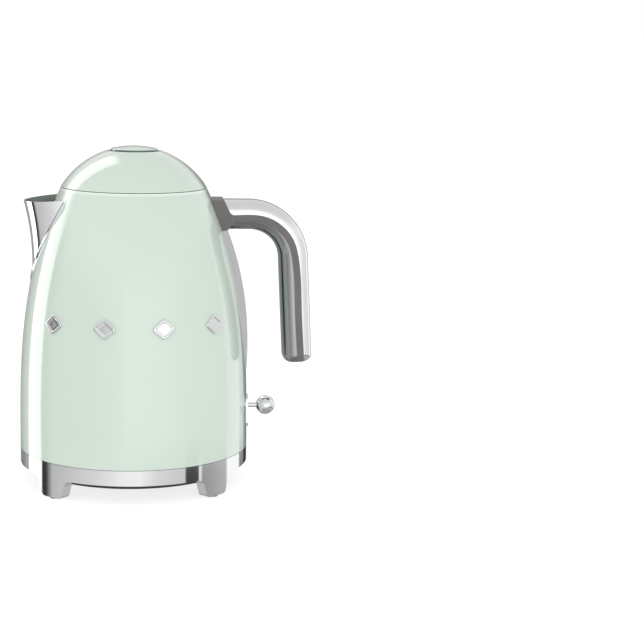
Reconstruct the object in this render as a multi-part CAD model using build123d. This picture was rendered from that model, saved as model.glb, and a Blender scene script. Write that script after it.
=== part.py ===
"""Cordless electric kettle with a flip-up domed lid, standing on its swivel power base.

Units are millimetres. The origin is on the floor, on the body's upright axis. +Z is up,
the handle is towards +X, the spout towards -X and the front towards -Y.
"""
from build123d import *
from math import cos, radians, sin, sqrt, tan
import os

# ---------------------------------------------------------------- overall sizes
BODY_R = 84.0           # outside of the body at its foot, and of the base ring
NECK_R = 53.0           # outside of the body's rim, under the lid
BODY_TOP = 218.0        # height of the body's rim
BASE_TOP = 26.0         # height of the base ring's upper edge
LID_RISE = 29.4         # height of the lid's dome above its edge
BODY_TAPER = 2.9        # power of the curve that takes the body in from foot to neck
WALL = 0.8              # sheet steel of the body and the lid

# ---------------------------------------------------------------- clearances
SEAM = 0.3              # between two bodies that part or turn
SLIDE_GAP = 0.4         # around the button, the latch and the lid's plug seal
FIT = 0.05              # radial running clearance of a pin in its hole

# ---------------------------------------------------------------- power base
RING_WALL = 8.0
ARCH_TOP = 15.0         # underside of the ring between two feet
FOOT_BOTTOM = 1.0       # metal edge of a foot above the floor
FOOT_HALF = 9.5         # half the width of a foot at the floor
FOOT_FLARE = 4.0        # how much wider each side is at the arch
FOOT_CORNER = 3.5
FOOT_FILLET = 6.0
FOOT_COUNT = 4
PAD_R = 3.2
PAD_NECK_R = 2.4        # the pad's plug in the foot
PAD_HEIGHT = 3.0
PLATFORM_TOP = 24.6     # face that the kettle rests on
PLATFORM_T = 2.0
PLATFORM_LEDGE = 3.5    # width of the ledge in the ring that carries the platform
SPIGOT_R = 17.0
SPIGOT_TOP = 33.6
SLOT_IN_R = 11.0        # the annular contact slot in the spigot
SLOT_OUT_R = 13.6
CENTRE_R = 3.6          # centre contact hole in the spigot
CONTACT_T = 0.6
BASE_COVER_Z = 11.0
BASE_COVER_T = 2.0
DRUM_R = 38.0           # cord drum under the base
DRUM_DEPTH = 8.0
BOSS_R = 4.0
BASE_SCREW_R = 1.5
BASE_SCREW_CIRCLE = 60.0
SCREW_HEAD_T = 1.6
CORD_HOLE_R = 3.6
GLAND_R = 5.0
GLAND_FLANGE_R = 5.6

# ---------------------------------------------------------------- kettle underside
REST_IN_R = 60.0        # ring foot of the bottom cover
REST_OUT_R = 66.0
COVER_T = 2.4
SEAL_RING_T = 1.6
SEAL_RING_W = 2.7
FLOOR_Z = 63.0          # underside of the water tank's floor
FLOOR_T = 1.2
DIFFUSER_R = 41.8
DIFFUSER_T = 3.0
ELEMENT_R = 38.0        # mean radius of the heating element's loop
ELEMENT_TUBE_R = 3.2
CONTROL_R = 43.0
CONTROL_TOP = 51.0
STUD_R = 3.2
STUD_CIRCLE = 71.0
COVER_SCREW_R = 1.5
PIN_RING_MEAN_R = 12.1
CENTRE_PIN_R = 2.3

# ---------------------------------------------------------------- spout
SPOUT_DROP = 10.2       # the pouring tip, below the rim
SPOUT_TALL = 57.8       # from the tip down to where the nose runs into the body
SPOUT_STRAIGHT = 12.0   # the lowest part of the nose, which is upright
SPOUT_SINK = 1.3        # how deep the nose's foot lies in the body
SPOUT_OVERHANG = 5.8    # how far the tip leans out past the nose
SPOUT_LENGTH = 30.0     # half axes of the plan section, at the top
SPOUT_HALF = 28.0
SPOUT_LOW_LENGTH = 25.0
SPOUT_LOW_HALF = 22.5
SPOUT_WALL = 1.1
SPOUT_TILT = 4.5        # degrees that the rim rises from the tip to the body
SPOUT_LIP = 1.6         # flange along the seam with the body
SPOUT_LIP_T = 0.8

# ---------------------------------------------------------------- handle
HANDLE_DROP = 19.2      # middle of the handle's level run, below the rim
HANDLE_DEEP = 21.6      # thickness seen from the side
HANDLE_WIDE = 27.0
HANDLE_CORNER = 9.0
HANDLE_REACH = 23.0     # level run, from the body to the bend
HANDLE_BEND_R = 33.0
HANDLE_LEG = 79.0       # the straight leg below the bend
HANDLE_LEAN = 3.0       # degrees that the leg leans out
HANDLE_END_R = 6.0
BAND_T = 5.2            # the grey core showing between the two metal shells
BAND_TOP_OFFSET = -2.6  # middle of the band from the handle's middle, at the body
BAND_END_OFFSET = 2.0   # and at the free end
BRACKET_DEPTH = 22.5    # height of the bracket on the body
BRACKET_OUT = 8.6       # level top edge of the bracket
BRACKET_SLOPE = 5.4     # how much further out its foot of the front edge is

# ---------------------------------------------------------------- water window
WINDOW_LOW = 84.0
WINDOW_PROUD = 3.9
WINDOW_PEAK = 155.0
WINDOW_HALF = 9.0
LENS_HALF = 5.0
LENS_MARGIN = 7.0
GASKET_T = 1.6

# ---------------------------------------------------------------- lever
LEVER_Z = 54.3
LEVER_INSET = 26.0      # pivot, in from the outside of the body
LEVER_BALL_R = 7.1
LEVER_REACH = 14.0      # centre of the ball, out from the body
LEVER_STEM_R = 1.75
LEVER_PIN_R = 1.45
LEVER_HUB_R = 4.0
LEVER_HUB_HALF = 5.0
LEVER_TRAVEL = 16.0     # degrees
PLATE_HALF = 7.0
PLATE_BORDER = 3.8
PLATE_PROUD = 1.1
PLATE_SLOT_HALF = 2.7
PLATE_SLOT_SPARE = 2.2  # room past the stem at each end of its travel

# ---------------------------------------------------------------- neck, lid and hinge
FLANGE_DROP = 0.6       # sheet flange inside the rim, below the rim's edge
FLANGE_IN_R = 46.5
COLLAR_BORE_R = 44.0
COLLAR_WALL = 2.2
COLLAR_DEPTH = 12.0
COLLAR_LIP_OUT_R = 50.0
LID_GAP = 0.35
PLUG_DEPTH = 9.0        # how far the lid's plug reaches below the rim
PLUG_WALL = 2.0
PLUG_SWING = 1.7        # the bore's shift towards the hinge, for the plug to swing out
HINGE_IN = 2.1          # hinge axis, in from the neck's outside
HINGE_DROP = 5.5        # and below the rim
HINGE_PIN_R = 1.25
KNUCKLE_R = 2.3
KNUCKLE_HALF = 8.0
HINGE_SPRING_HALF = 3.2
HINGE_SPRING_R = 2.0
EAR_HALF = 12.5
LEAF_T = 2.0

# ---------------------------------------------------------------- button and latch
BUTTON_R = 17.1
BUTTON_GROOVE = 1.6     # gap round the button
BUTTON_TRAVEL = 3.0
BUTTON_RISE = 0.2       # crown of the button above the dome's own apex
BUTTON_SKIRT = 8.0
BUTTON_WALL = 1.6
WELL_DEPTH = 4.0        # turned-down edge of the lid round the button
GUIDE_IN_R = 11.0
GUIDE_OUT_R = 13.0
GUIDE_FIT = 0.08
CHASSIS_T = 2.0
LATCH_HALF = 4.0
LATCH_T = 4.0
LATCH_RISE = 1.5        # underside of the latch above the plug's lower face
LATCH_REACH = 2.0       # how far the tongue stands into the collar's keeper
LATCH_TAIL = 9.0
KEEPER_GAP = 0.6

# ---------------------------------------------------------------- filter, steam tube, ornaments
FILTER_HALF = 20.0
FILTER_DROP = 14.0      # top of the filter's frame, below the rim
FILTER_TALL = 33.0
FILTER_T = 2.0
FILTER_RIM = 3.0
MESH_T = 0.5
STEAM_R = 4.0
STEAM_WALL = 1.0
STEAM_CIRCLE = 46.0
STEAM_ANGLE = 40.0
ORNAMENT_Z = 126.0
ORNAMENT_HIGH = 15.0
ORNAMENT_WIDE = 17.0
ORNAMENT_PROUD = 1.5
ORNAMENT_ANGLES = (-45, -15, 15, 45)

# ---------------------------------------------------------------- sizes that follow
BODY_BOTTOM = BASE_TOP + SEAM
RING_IN_R = BODY_R - RING_WALL
LEDGE_R = RING_IN_R + PLATFORM_LEDGE
FLANGE_TOP = BODY_TOP - FLANGE_DROP
LID_EDGE = BODY_TOP + LID_GAP
DOME_R = (NECK_R**2 + LID_RISE**2) / (2 * LID_RISE)
DOME_Z = LID_EDGE + LID_RISE - DOME_R
PLUG_R = COLLAR_BORE_R - 2 * SLIDE_GAP
PLUG_LOW = BODY_TOP - PLUG_DEPTH
FLANGE_LID_Z = LID_EDGE + 0.15
CHASSIS_Z = FLANGE_LID_Z + 1.0
HINGE_X = NECK_R - HINGE_IN
HINGE_Z = BODY_TOP - HINGE_DROP
LATCH_Z = PLUG_LOW + LATCH_RISE
LATCH_TIP = -(PLUG_R + LATCH_REACH + SLIDE_GAP)
COVER_Z = BODY_BOTTOM + 0.2
SEAL_RING_Z = COVER_Z + 0.8
SEAL_RING_IN_R = SPIGOT_R + SEAM
SEAL_RING_OUT_R = SEAL_RING_IN_R + SEAL_RING_W
CONTROL_Z = SEAL_RING_Z + SEAL_RING_T
HANDLE_Z = BODY_TOP - HANDLE_DROP
SPOUT_TOP = BODY_TOP - SPOUT_DROP
SPOUT_BOTTOM = SPOUT_TOP - SPOUT_TALL
FILTER_HIGH = BODY_TOP - FILTER_DROP
FILTER_LOW = FILTER_HIGH - FILTER_TALL
LEVER_X = BODY_R - LEVER_INSET
PLATE_SLOT_HIGH = LEVER_Z + LEVER_STEM_R + PLATE_SLOT_SPARE
PLATE_SLOT_LOW = LEVER_Z - LEVER_INSET * tan(radians(LEVER_TRAVEL)) - LEVER_STEM_R - PLATE_SLOT_SPARE
EPS = 0.01


# ---------------------------------------------------------------- helpers
def body_radius(z):
    """Outside radius of the body at height z."""
    share = min(max((z - BODY_BOTTOM) / (BODY_TOP - BODY_BOTTOM), 0.0), 1.0)
    return BODY_R - (BODY_R - NECK_R) * share**BODY_TAPER


def turned(*outline):
    """Solid of revolution from a closed outline of (radius, height) points."""
    return revolve(make_face(Polyline(*[(r, 0, z) for r, z in outline], close=True)), Axis.Z)


def tube(inner, outer, low, high):
    """Upright tube about the kettle's axis."""
    return turned((inner, low), (outer, low), (outer, high), (inner, high))


def disc(radius, low, high):
    """Upright disc about the kettle's axis."""
    return Pos(0, 0, (low + high) / 2) * Cylinder(radius, high - low)


def block(x, y, z):
    """Box between (low, high) pairs."""
    centre = [(low + high) / 2 for low, high in (x, y, z)]
    return Pos(*centre) * Box(x[1] - x[0], y[1] - y[0], z[1] - z[0])


def cross_rod(radius, x, z, low, high):
    """Cylinder along Y."""
    return Pos(x, (low + high) / 2, z) * Rot(90, 0, 0) * Cylinder(radius, high - low)


def slab(outline, half):
    """Side outline of (x, z) points, drawn out to both sides of the middle plane."""
    face = make_face(Polyline(*[(x, 0, z) for x, z in outline], close=True))
    return extrude(face, half, dir=(0, 1, 0), both=True)


def around(piece, count, first=0.0):
    """Copies of a piece spaced evenly about the kettle's axis."""
    return Compound([Rot(0, 0, first + 360 * i / count) * piece for i in range(count)])


def body_form(extra=0.0, low=BODY_BOTTOM, high=BODY_TOP):
    """Solid inside the body's outer surface, made wider all round by extra."""
    steps = 9
    heights = [low + (high - low) * i / (steps - 1) for i in range(steps)]
    side = Spline(*[(body_radius(z) + extra, 0, z) for z in heights])
    top = Line((body_radius(high) + extra, 0, high), (0, 0, high))
    foot = Line((0, 0, low), (body_radius(low) + extra, 0, low))
    axis = Line((0, 0, high), (0, 0, low))
    return revolve(make_face([foot, side, top, axis]), Axis.Z)


def dome_arc(drop, first_r, last_r):
    """Arc of the dome's section between two radii from the axis; drop makes the dome smaller."""
    middle_r = (first_r + last_r) / 2
    return ThreePointArc(*[(r, 0, dome_height(r, drop)) for r in (first_r, middle_r, last_r)])


def dome_edge(drop, low):
    """Radius of the dome at height low."""
    return sqrt((DOME_R - drop)**2 - (low - DOME_Z)**2)


def dome_form(drop=0.0, low=LID_EDGE):
    """Solid inside the lid's dome, above height low; drop makes the dome smaller."""
    arc = dome_arc(drop, dome_edge(drop, low), 0)
    foot = Line((0, 0, low), arc @ 0)
    axis = Line(arc @ 1, (0, 0, low))
    return revolve(make_face([foot, arc, axis]), Axis.Z)


def dome_height(radius, drop=0.0):
    """Height of the lid's dome at a radius from the axis."""
    return DOME_Z + sqrt((DOME_R - drop)**2 - radius**2)


OUTSIDE = body_form()
INSIDE = body_form(-WALL)


# ---------------------------------------------------------------- power base
def foot_outline():
    """Front of one foot: splayed sides, rounded toes and fillets into the ring."""
    wide = FOOT_HALF + FOOT_FLARE
    shoulder = wide + 3 * FOOT_FILLET
    points = [(-shoulder, ARCH_TOP), (-wide, ARCH_TOP), (-FOOT_HALF, FOOT_BOTTOM),
              (FOOT_HALF, FOOT_BOTTOM), (wide, ARCH_TOP), (shoulder, ARCH_TOP),
              (shoulder, ARCH_TOP + 2), (-shoulder, ARCH_TOP + 2)]
    face = Plane.YZ * make_face(Polyline(*points, close=True))
    toes = [v for v in face.vertices() if v.Z < FOOT_BOTTOM + EPS]
    face = fillet(toes, FOOT_CORNER)
    arches = [v for v in face.vertices()
              if abs(v.Z - ARCH_TOP) < EPS and abs(v.Y) < shoulder - 1]
    return fillet(arches, FOOT_FILLET)


def pad_circle():
    """Radius of the circle that the rubber pads stand on."""
    return BODY_R - RING_WALL / 2


def base_ring():
    ring = tube(RING_IN_R, BODY_R, ARCH_TOP, BASE_TOP)
    leg_tube = tube(RING_IN_R, BODY_R, 0, ARCH_TOP + 1)
    foot = extrude(foot_outline(), BODY_R + 5, dir=(1, 0, 0)) & leg_tube
    ring += around(foot, FOOT_COUNT, 45).solids()
    ring -= tube(0, LEDGE_R, PLATFORM_TOP - PLATFORM_T, BASE_TOP + 1)
    hole = Pos(pad_circle(), 0, 0) * Cylinder(PAD_NECK_R, 2 * PAD_HEIGHT)
    ring -= around(hole, FOOT_COUNT, 45)
    return ring - gland_way(GLAND_R)


def gland_z():
    """Height of the cord inlet, at the top of the arch at the back."""
    return PLATFORM_TOP - PLATFORM_T - GLAND_R - 1.0


def gland_way(radius):
    """Straight hole of a radius through the back of the base at the cord inlet."""
    return Pos(0, BODY_R, gland_z()) * Rot(90, 0, 0) * Cylinder(radius, 3 * RING_WALL)


def base_foot_pads():
    pad = Pos(pad_circle(), 0, PAD_HEIGHT / 2) * Cylinder(PAD_NECK_R, PAD_HEIGHT)
    pad += Pos(pad_circle(), 0, FOOT_BOTTOM / 2) * Cylinder(PAD_R, FOOT_BOTTOM)
    return around(pad, FOOT_COUNT, 45)


def base_platform():
    low = PLATFORM_TOP - PLATFORM_T
    plate = tube(SPIGOT_R, LEDGE_R, low, PLATFORM_TOP)
    boss = Pos(BASE_SCREW_CIRCLE, 0, (BASE_COVER_Z + BASE_COVER_T + low) / 2) * \
        Cylinder(BOSS_R, low - BASE_COVER_Z - BASE_COVER_T)
    plate += around(boss, 3, 30).solids()
    return plate - screw_holes(BASE_SCREW_CIRCLE, BASE_SCREW_R, BASE_COVER_Z, low - 1, 3, 30)


def screw_holes(circle, radius, low, high, count, first):
    """Straight holes on a circle about the axis."""
    hole = Pos(circle, 0, (low + high) / 2) * Cylinder(radius, high - low)
    return around(hole, count, first)


def screws(circle, radius, low, high, count, first):
    """Round-headed screws on a circle, heads at the bottom."""
    head = Pos(circle, 0, low + SCREW_HEAD_T / 2) * Cylinder(2 * radius, SCREW_HEAD_T)
    shank = Pos(circle, 0, (low + high) / 2) * Cylinder(radius, high - low)
    recess = Pos(circle, 0, low + 0.35) * Box(0.6, 2.6 * radius, 0.7)
    return around((head + shank) - recess, count, first)


def base_bottom_cover():
    plate = disc(RING_IN_R, BASE_COVER_Z, BASE_COVER_Z + BASE_COVER_T)
    plate += tube(DRUM_R, DRUM_R + 2, BASE_COVER_Z - DRUM_DEPTH, BASE_COVER_Z)
    keeper = block((DRUM_R, DRUM_R + 11), (-8, 8), (BASE_COVER_Z - DRUM_DEPTH,
                                                    BASE_COVER_Z - DRUM_DEPTH + 1.6))
    plate += around(keeper - disc(DRUM_R + 1, 0, BASE_COVER_Z), FOOT_COUNT, 45).solids()
    plate -= screw_holes(BASE_SCREW_CIRCLE, BASE_SCREW_R, BASE_COVER_Z - 1,
                         BASE_COVER_Z + BASE_COVER_T + 1, 3, 30)
    return plate - gland_way(GLAND_FLANGE_R)


def base_cover_screws():
    return screws(BASE_SCREW_CIRCLE, BASE_SCREW_R, BASE_COVER_Z - SCREW_HEAD_T,
                  PLATFORM_TOP - PLATFORM_T - 1, 3, 30)


def cord_gland():
    """Bush in the back of the base ring that the mains cord would pass through."""
    out_y = BODY_R + 1.2
    in_y = RING_IN_R - 2.0
    bush = Pos(0, (out_y + in_y) / 2, gland_z()) * Rot(90, 0, 0) * Cylinder(GLAND_R, out_y - in_y)
    bush += Pos(0, in_y - 0.8, gland_z()) * Rot(90, 0, 0) * Cylinder(GLAND_FLANGE_R, 1.6)
    return bush - gland_way(CORD_HOLE_R)


def base_spigot():
    """Round connector that the kettle drops over, with a centre hole and an annular slot."""
    low = BASE_COVER_Z + BASE_COVER_T
    core = disc(SPIGOT_R, low, SPIGOT_TOP)
    core -= tube(SLOT_IN_R, SLOT_OUT_R, low + 6, SPIGOT_TOP + 1)
    core -= disc(CENTRE_R, low + 4, SPIGOT_TOP + 1)
    top_edge = core.edges().filter_by(GeomType.CIRCLE).filter_by(
        lambda e: abs(e.radius - SPIGOT_R) < EPS).sort_by(Axis.Z)[-1]
    return fillet(top_edge, 1.0)


def base_ring_contact():
    low = BASE_COVER_Z + BASE_COVER_T + 6
    return tube(SLOT_OUT_R - CONTACT_T, SLOT_OUT_R, low, SPIGOT_TOP - 2)


def base_centre_contact():
    low = BASE_COVER_Z + BASE_COVER_T + 4
    return tube(CENTRE_R - CONTACT_T, CENTRE_R, low, SPIGOT_TOP - 2)


def socket_seal_ring():
    """Loose sealing ring round the spigot, held in the kettle's underside."""
    return tube(SEAL_RING_IN_R, SEAL_RING_OUT_R, SEAL_RING_Z, SEAL_RING_Z + SEAL_RING_T)


# ---------------------------------------------------------------- kettle underside
def bottom_cover():
    edge = body_radius(COVER_Z) - WALL
    plate = disc(edge, COVER_Z, COVER_Z + COVER_T) & INSIDE
    plate += tube(REST_IN_R, REST_OUT_R, PLATFORM_TOP, COVER_Z)
    plate -= disc(SEAL_RING_IN_R + 0.7, COVER_Z - 1, COVER_Z + COVER_T + 1)
    plate -= disc(SEAL_RING_OUT_R + FIT, SEAL_RING_Z, COVER_Z + COVER_T + 1)
    return plate - screw_holes(STUD_CIRCLE, COVER_SCREW_R, 0, COVER_Z + COVER_T + 1, 3, 60)


def bottom_cover_screws():
    return screws(STUD_CIRCLE, COVER_SCREW_R, COVER_Z - SCREW_HEAD_T, COVER_Z + 12, 3, 60)


def tank_floor():
    """Steel floor of the water tank, with a turned-up edge and three studs below."""
    plate = disc(BODY_R, FLOOR_Z, FLOOR_Z + FLOOR_T)
    plate += tube(body_radius(FLOOR_Z) - 2 * WALL - 0.4, BODY_R, FLOOR_Z, FLOOR_Z + 5)
    plate &= INSIDE
    stud = tube(0, STUD_R, COVER_Z + COVER_T, FLOOR_Z)
    plate += around(Pos(STUD_CIRCLE, 0, 0) * stud, 3, 60).solids()
    plate -= screw_holes(STUD_CIRCLE, COVER_SCREW_R, COVER_Z, COVER_Z + 12, 3, 60)
    return plate - steam_hole()


def heat_diffuser():
    return disc(DIFFUSER_R, FLOOR_Z - DIFFUSER_T, FLOOR_Z)


def element_z():
    """Height of the heating element's tube, pressed on the diffuser."""
    return FLOOR_Z - DIFFUSER_T - ELEMENT_TUBE_R


def heating_element():
    """Sheathed heating loop, open at the front, with two terminals that turn down."""
    section = Pos(ELEMENT_R, 0, element_z()) * (Plane.XZ * Circle(ELEMENT_TUBE_R))
    loop = revolve(section, Axis.Z, 310)
    tail_low = CONTROL_TOP
    tail = Pos(ELEMENT_R, 0, (tail_low + element_z()) / 2) * \
        Cylinder(ELEMENT_TUBE_R * 0.8, element_z() - tail_low)
    loop = loop + tail + Rot(0, 0, 310) * tail
    return Rot(0, 0, 205) * loop


def control_housing():
    """Moulded control block that carries the switch, the thermostats and the socket."""
    block_body = disc(CONTROL_R, CONTROL_Z, CONTROL_TOP)
    block_body &= block((-CONTROL_R, CONTROL_R + 2), (-27, 27), (0, CONTROL_TOP))
    block_body -= disc(SPIGOT_R + 1.2, CONTROL_Z - 1, SPIGOT_TOP + 2.4)
    block_body -= disc(PIN_RING_MEAN_R + CONTACT_T / 2, SPIGOT_TOP, SPIGOT_TOP + 6)
    rim = tube(SEAL_RING_IN_R + 0.9, SEAL_RING_OUT_R + 4, COVER_Z + COVER_T, CONTROL_TOP - 8)
    return (block_body + rim) - lever_space()


def lever_space():
    """Room for the lever's hub and tail at the back of the control block."""
    return block((LEVER_X - 11, LEVER_X + 20), (-5.6, 5.6), (LEVER_Z - 7, LEVER_Z + 8))


def connector_carrier():
    """Insulating plug inside the control block that holds the two live pins."""
    low = SPIGOT_TOP + 1.2
    return disc(PIN_RING_MEAN_R + CONTACT_T / 2, low, SPIGOT_TOP + 6) - \
        tube(PIN_RING_MEAN_R - CONTACT_T / 2, BODY_R, low - 1, low + 3) - \
        disc(CENTRE_PIN_R, low - 1, low + 3)


def socket_ring_pin():
    high = SPIGOT_TOP + 4.2
    low = BASE_COVER_Z + BASE_COVER_T + 9
    return tube(PIN_RING_MEAN_R - CONTACT_T / 2, PIN_RING_MEAN_R + CONTACT_T / 2, low, high)


def socket_centre_pin():
    low = BASE_COVER_Z + BASE_COVER_T + 7
    pin = disc(CENTRE_PIN_R, low, SPIGOT_TOP + 4.2)
    return chamfer(pin.edges().sort_by(Axis.Z)[0], 0.8)


def bimetal_discs():
    """Two dished thermostat discs between the control block and the diffuser."""
    high = CONTROL_TOP + 1.2
    dish = disc(9.5, CONTROL_TOP, high)
    return Compound([Pos(-14, 14 * side, 0) * dish for side in (-1, 1)])


# ---------------------------------------------------------------- body and spout
def nose(z):
    """How far out the spout's nose is at height z."""
    share = max((z - SPOUT_BOTTOM - SPOUT_STRAIGHT) / (SPOUT_TALL - SPOUT_STRAIGHT), 0.0)
    return body_radius(SPOUT_BOTTOM) - SPOUT_SINK + SPOUT_OVERHANG * share**2


def spout_form(shrink=0.0):
    """Loft of plan ellipses that widen towards the rim."""
    low = SPOUT_BOTTOM - 8
    high = SPOUT_TOP + 6
    sections = []
    for i in range(5):
        z = low + (high - low) * i / 4
        share = max((z - SPOUT_BOTTOM) / SPOUT_TALL, 0.0)
        long = SPOUT_LOW_LENGTH + (SPOUT_LENGTH - SPOUT_LOW_LENGTH) * share**1.5
        half = SPOUT_LOW_HALF + (SPOUT_HALF - SPOUT_LOW_HALF) * share
        centre = -(nose(z) - long)
        sections.append(Pos(centre, 0, z) * Ellipse(long - shrink, half - shrink))
    return loft(sections)


def spout_trim():
    """Everything above the spout's slightly rising rim."""
    tip = nose(SPOUT_TOP)
    return Pos(-tip, 0, SPOUT_TOP) * Rot(0, -SPOUT_TILT, 0) * \
        block((-50, 150), (-100, 100), (0, 60))


def rim_height(x):
    """Height of the spout's rim at distance x from the axis."""
    return SPOUT_TOP + (nose(SPOUT_TOP) - x) * tan(radians(SPOUT_TILT))


def spout():
    skin = spout_form() - OUTSIDE
    lip = (spout_form(-SPOUT_LIP) & body_form(SPOUT_LIP_T, high=rim_height(50))) - OUTSIDE
    piece = (skin + lip) - spout_form(SPOUT_WALL) - spout_trim()
    keep = block((-200, -20), (-100, 100), (0, BODY_TOP + 20))
    piece &= keep
    return largest(piece)


def largest(piece):
    """The biggest solid of a result."""
    return max(piece.solids(), key=lambda s: s.volume)


def spout_way():
    """Opening in the body behind the spout."""
    return spout_form(SPOUT_WALL + 3) & block((-200, -30), (-100, 100),
                                              (SPOUT_BOTTOM + 20, SPOUT_TOP - 2.7))


def body_shell():
    shell = OUTSIDE - INSIDE
    shell += tube(NECK_R - WALL - 0.9, NECK_R + 2, FLANGE_TOP - WALL, BODY_TOP) & OUTSIDE
    shell += tube(FLANGE_IN_R, NECK_R, FLANGE_TOP - WALL, FLANGE_TOP) & OUTSIDE
    shell -= spout_way()
    shell -= hinge_notch() & INSIDE
    shell -= lens_way(LENS_HALF + 0.3, LENS_MARGIN - 0.3)
    shell -= block((LEVER_X, BODY_R + 5), (-PLATE_SLOT_HALF, PLATE_SLOT_HALF),
                   (PLATE_SLOT_LOW, PLATE_SLOT_HIGH))
    for z in bracket_screw_heights():
        shell -= Pos(body_radius(z), 0, z) * Rot(0, 90, 0) * Cylinder(2.0, 20)
    return largest(shell)


def front_ornaments():
    """Four raised diamonds across the front of the body."""
    high, wide = ORNAMENT_HIGH / 2, ORNAMENT_WIDE / 2
    face = make_face(Polyline((0, 0, -high), (wide, 0, 0), (0, 0, high), (-wide, 0, 0), close=True))
    face = fillet(face.vertices(), 2.0)
    diamond = Pos(0, -BODY_R + 20, ORNAMENT_Z) * extrude(face, 30, dir=(0, -1, 0))
    skin = body_form(ORNAMENT_PROUD) - OUTSIDE
    return Compound([(Rot(0, 0, a) * diamond & skin).solids()[0] for a in ORNAMENT_ANGLES])


# ---------------------------------------------------------------- handle
def handle_path():
    """Middle line of the handle: level run, bend, and the leg that leans out."""
    turn = 90 - HANDLE_LEAN
    start = body_radius(HANDLE_Z) - 4
    bend_x = body_radius(HANDLE_Z) + HANDLE_REACH
    top = Line((start, 0, HANDLE_Z), (bend_x, 0, HANDLE_Z))
    centre_z = HANDLE_Z - HANDLE_BEND_R
    end_x = bend_x + HANDLE_BEND_R * sin(radians(turn))
    end_z = centre_z + HANDLE_BEND_R * cos(radians(turn))
    half = radians(turn / 2)
    middle = (bend_x + HANDLE_BEND_R * sin(half), 0, centre_z + HANDLE_BEND_R * cos(half))
    bend = ThreePointArc((bend_x, 0, HANDLE_Z), middle, (end_x, 0, end_z))
    leg_x = end_x + HANDLE_LEG * sin(radians(HANDLE_LEAN))
    leg_z = end_z - HANDLE_LEG * cos(radians(HANDLE_LEAN))
    leg = Line((end_x, 0, end_z), (leg_x, 0, leg_z))
    return top, bend, leg


def handle_form(grow=0.0):
    """Rounded section swept along the middle line, with a rounded free end."""
    top, bend, leg = handle_path()
    start = top @ 0
    section = Plane(start, x_dir=(0, 1, 0), z_dir=(1, 0, 0)) * \
        RectangleRounded(HANDLE_WIDE + 2 * grow, HANDLE_DEEP + 2 * grow, HANDLE_CORNER + grow)
    form = sweep(section, path=Wire([top, bend, leg]))
    end = form.faces().sort_by_distance(leg @ 1)[0]
    return fillet(end.edges(), HANDLE_END_R)


def band_edge(shift):
    """Points of one edge of the grey band, shift outwards from the band's middle."""
    top, bend, leg = handle_path()
    stations = [(top, 0.0, 0.0), (top, 1.0, 0.15), (bend, 0.25, 0.3), (bend, 0.5, 0.45),
                (bend, 0.75, 0.6), (bend, 1.0, 0.72), (leg, 0.5, 0.9), (leg, 1.0, 1.0)]
    points = []
    for line, along, share in stations:
        offset = BAND_TOP_OFFSET + (BAND_END_OFFSET - BAND_TOP_OFFSET) * share + shift
        place = line @ along
        way = line % along
        points.append((place.X - way.Z * offset, 0, place.Z + way.X * offset))
    last = points[-1]
    way = leg % 1
    points.append((last[0] + way.X * 20, 0, last[2] + way.Z * 20))
    return points


def band_form(inner_shift, outer_shift, half):
    """Curved slab that follows the handle between two offsets."""
    outer = Spline(*band_edge(outer_shift))
    inner = Spline(*band_edge(inner_shift))
    first = Line(outer @ 0, inner @ 0)
    last = Line(outer @ 1, inner @ 1)
    return extrude(make_face([outer, last, inner, first]), half, dir=(0, 1, 0), both=True)


def bracket_form(grow=0.0):
    """Block between the body and the handle: sloped front that runs into the band in hollows."""
    high = BODY_TOP - 8.0
    low = high - BRACKET_DEPTH
    inside = NECK_R - 20
    brow = body_radius(high) + BRACKET_OUT
    front = brow + BRACKET_SLOPE
    band_high = HANDLE_Z + BAND_TOP_OFFSET + BAND_T / 2
    band_low = band_high - BAND_T
    roof = Polyline((inside, 0, low), (inside, 0, high), (brow, 0, high),
                    (front - 1.6, 0, band_high + 3.4))
    upper = ThreePointArc(roof @ 1, (front + 0.1, 0, band_high + 1.1),
                          (front + 3.4, 0, band_high - 0.1))
    lower = ThreePointArc((front + 2.6, 0, band_low + 0.1), (front + 0.6, 0, band_low - 0.9),
                          (front - 0.4, 0, band_low - 2.8))
    sill = Polyline(lower @ 1, (front - 2.4, 0, low + 0.6), (body_radius(low), 0, low), roof @ 0)
    face = make_face([*roof.edges(), upper, Line(upper @ 1, lower @ 0), lower, *sill.edges()])
    form = extrude(face, HANDLE_WIDE / 2 + grow, dir=(0, 1, 0), both=True)
    long_edges = form.edges().filter_by(Axis.Y).filter_by(lambda e: e.center().X > NECK_R)
    return fillet(long_edges.sort_by(Axis.Z)[-1:], 1.5)


def bracket_screw_heights():
    """Heights of the two screws that hold the bracket."""
    high = BODY_TOP - 8.0
    return high - 5.5, high - BRACKET_DEPTH + 5.5


def handle_core():
    """Grey moulding: the bracket on the body and the band inside the metal shells."""
    form = handle_form()
    core = form & band_form(-BAND_T / 2, BAND_T / 2, HANDLE_WIDE)
    core = (core + bracket_form()) - OUTSIDE
    for z in bracket_screw_heights():
        core -= Pos(body_radius(z), 0, z) * Rot(0, 90, 0) * Cylinder(BASE_SCREW_R, 16)
    return largest(core)


def handle_outer_shell():
    """Bright outer half of the grip."""
    shell = handle_form() & band_form(BAND_T / 2, BAND_T / 2 + HANDLE_DEEP, HANDLE_WIDE)
    return largest(shell - bracket_form() - OUTSIDE)


def handle_inner_shell():
    """Bright inner half of the grip, towards the fingers."""
    shell = handle_form() & band_form(-BAND_T / 2 - HANDLE_DEEP, -BAND_T / 2, HANDLE_WIDE)
    return largest(shell - bracket_form() - OUTSIDE)


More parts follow.
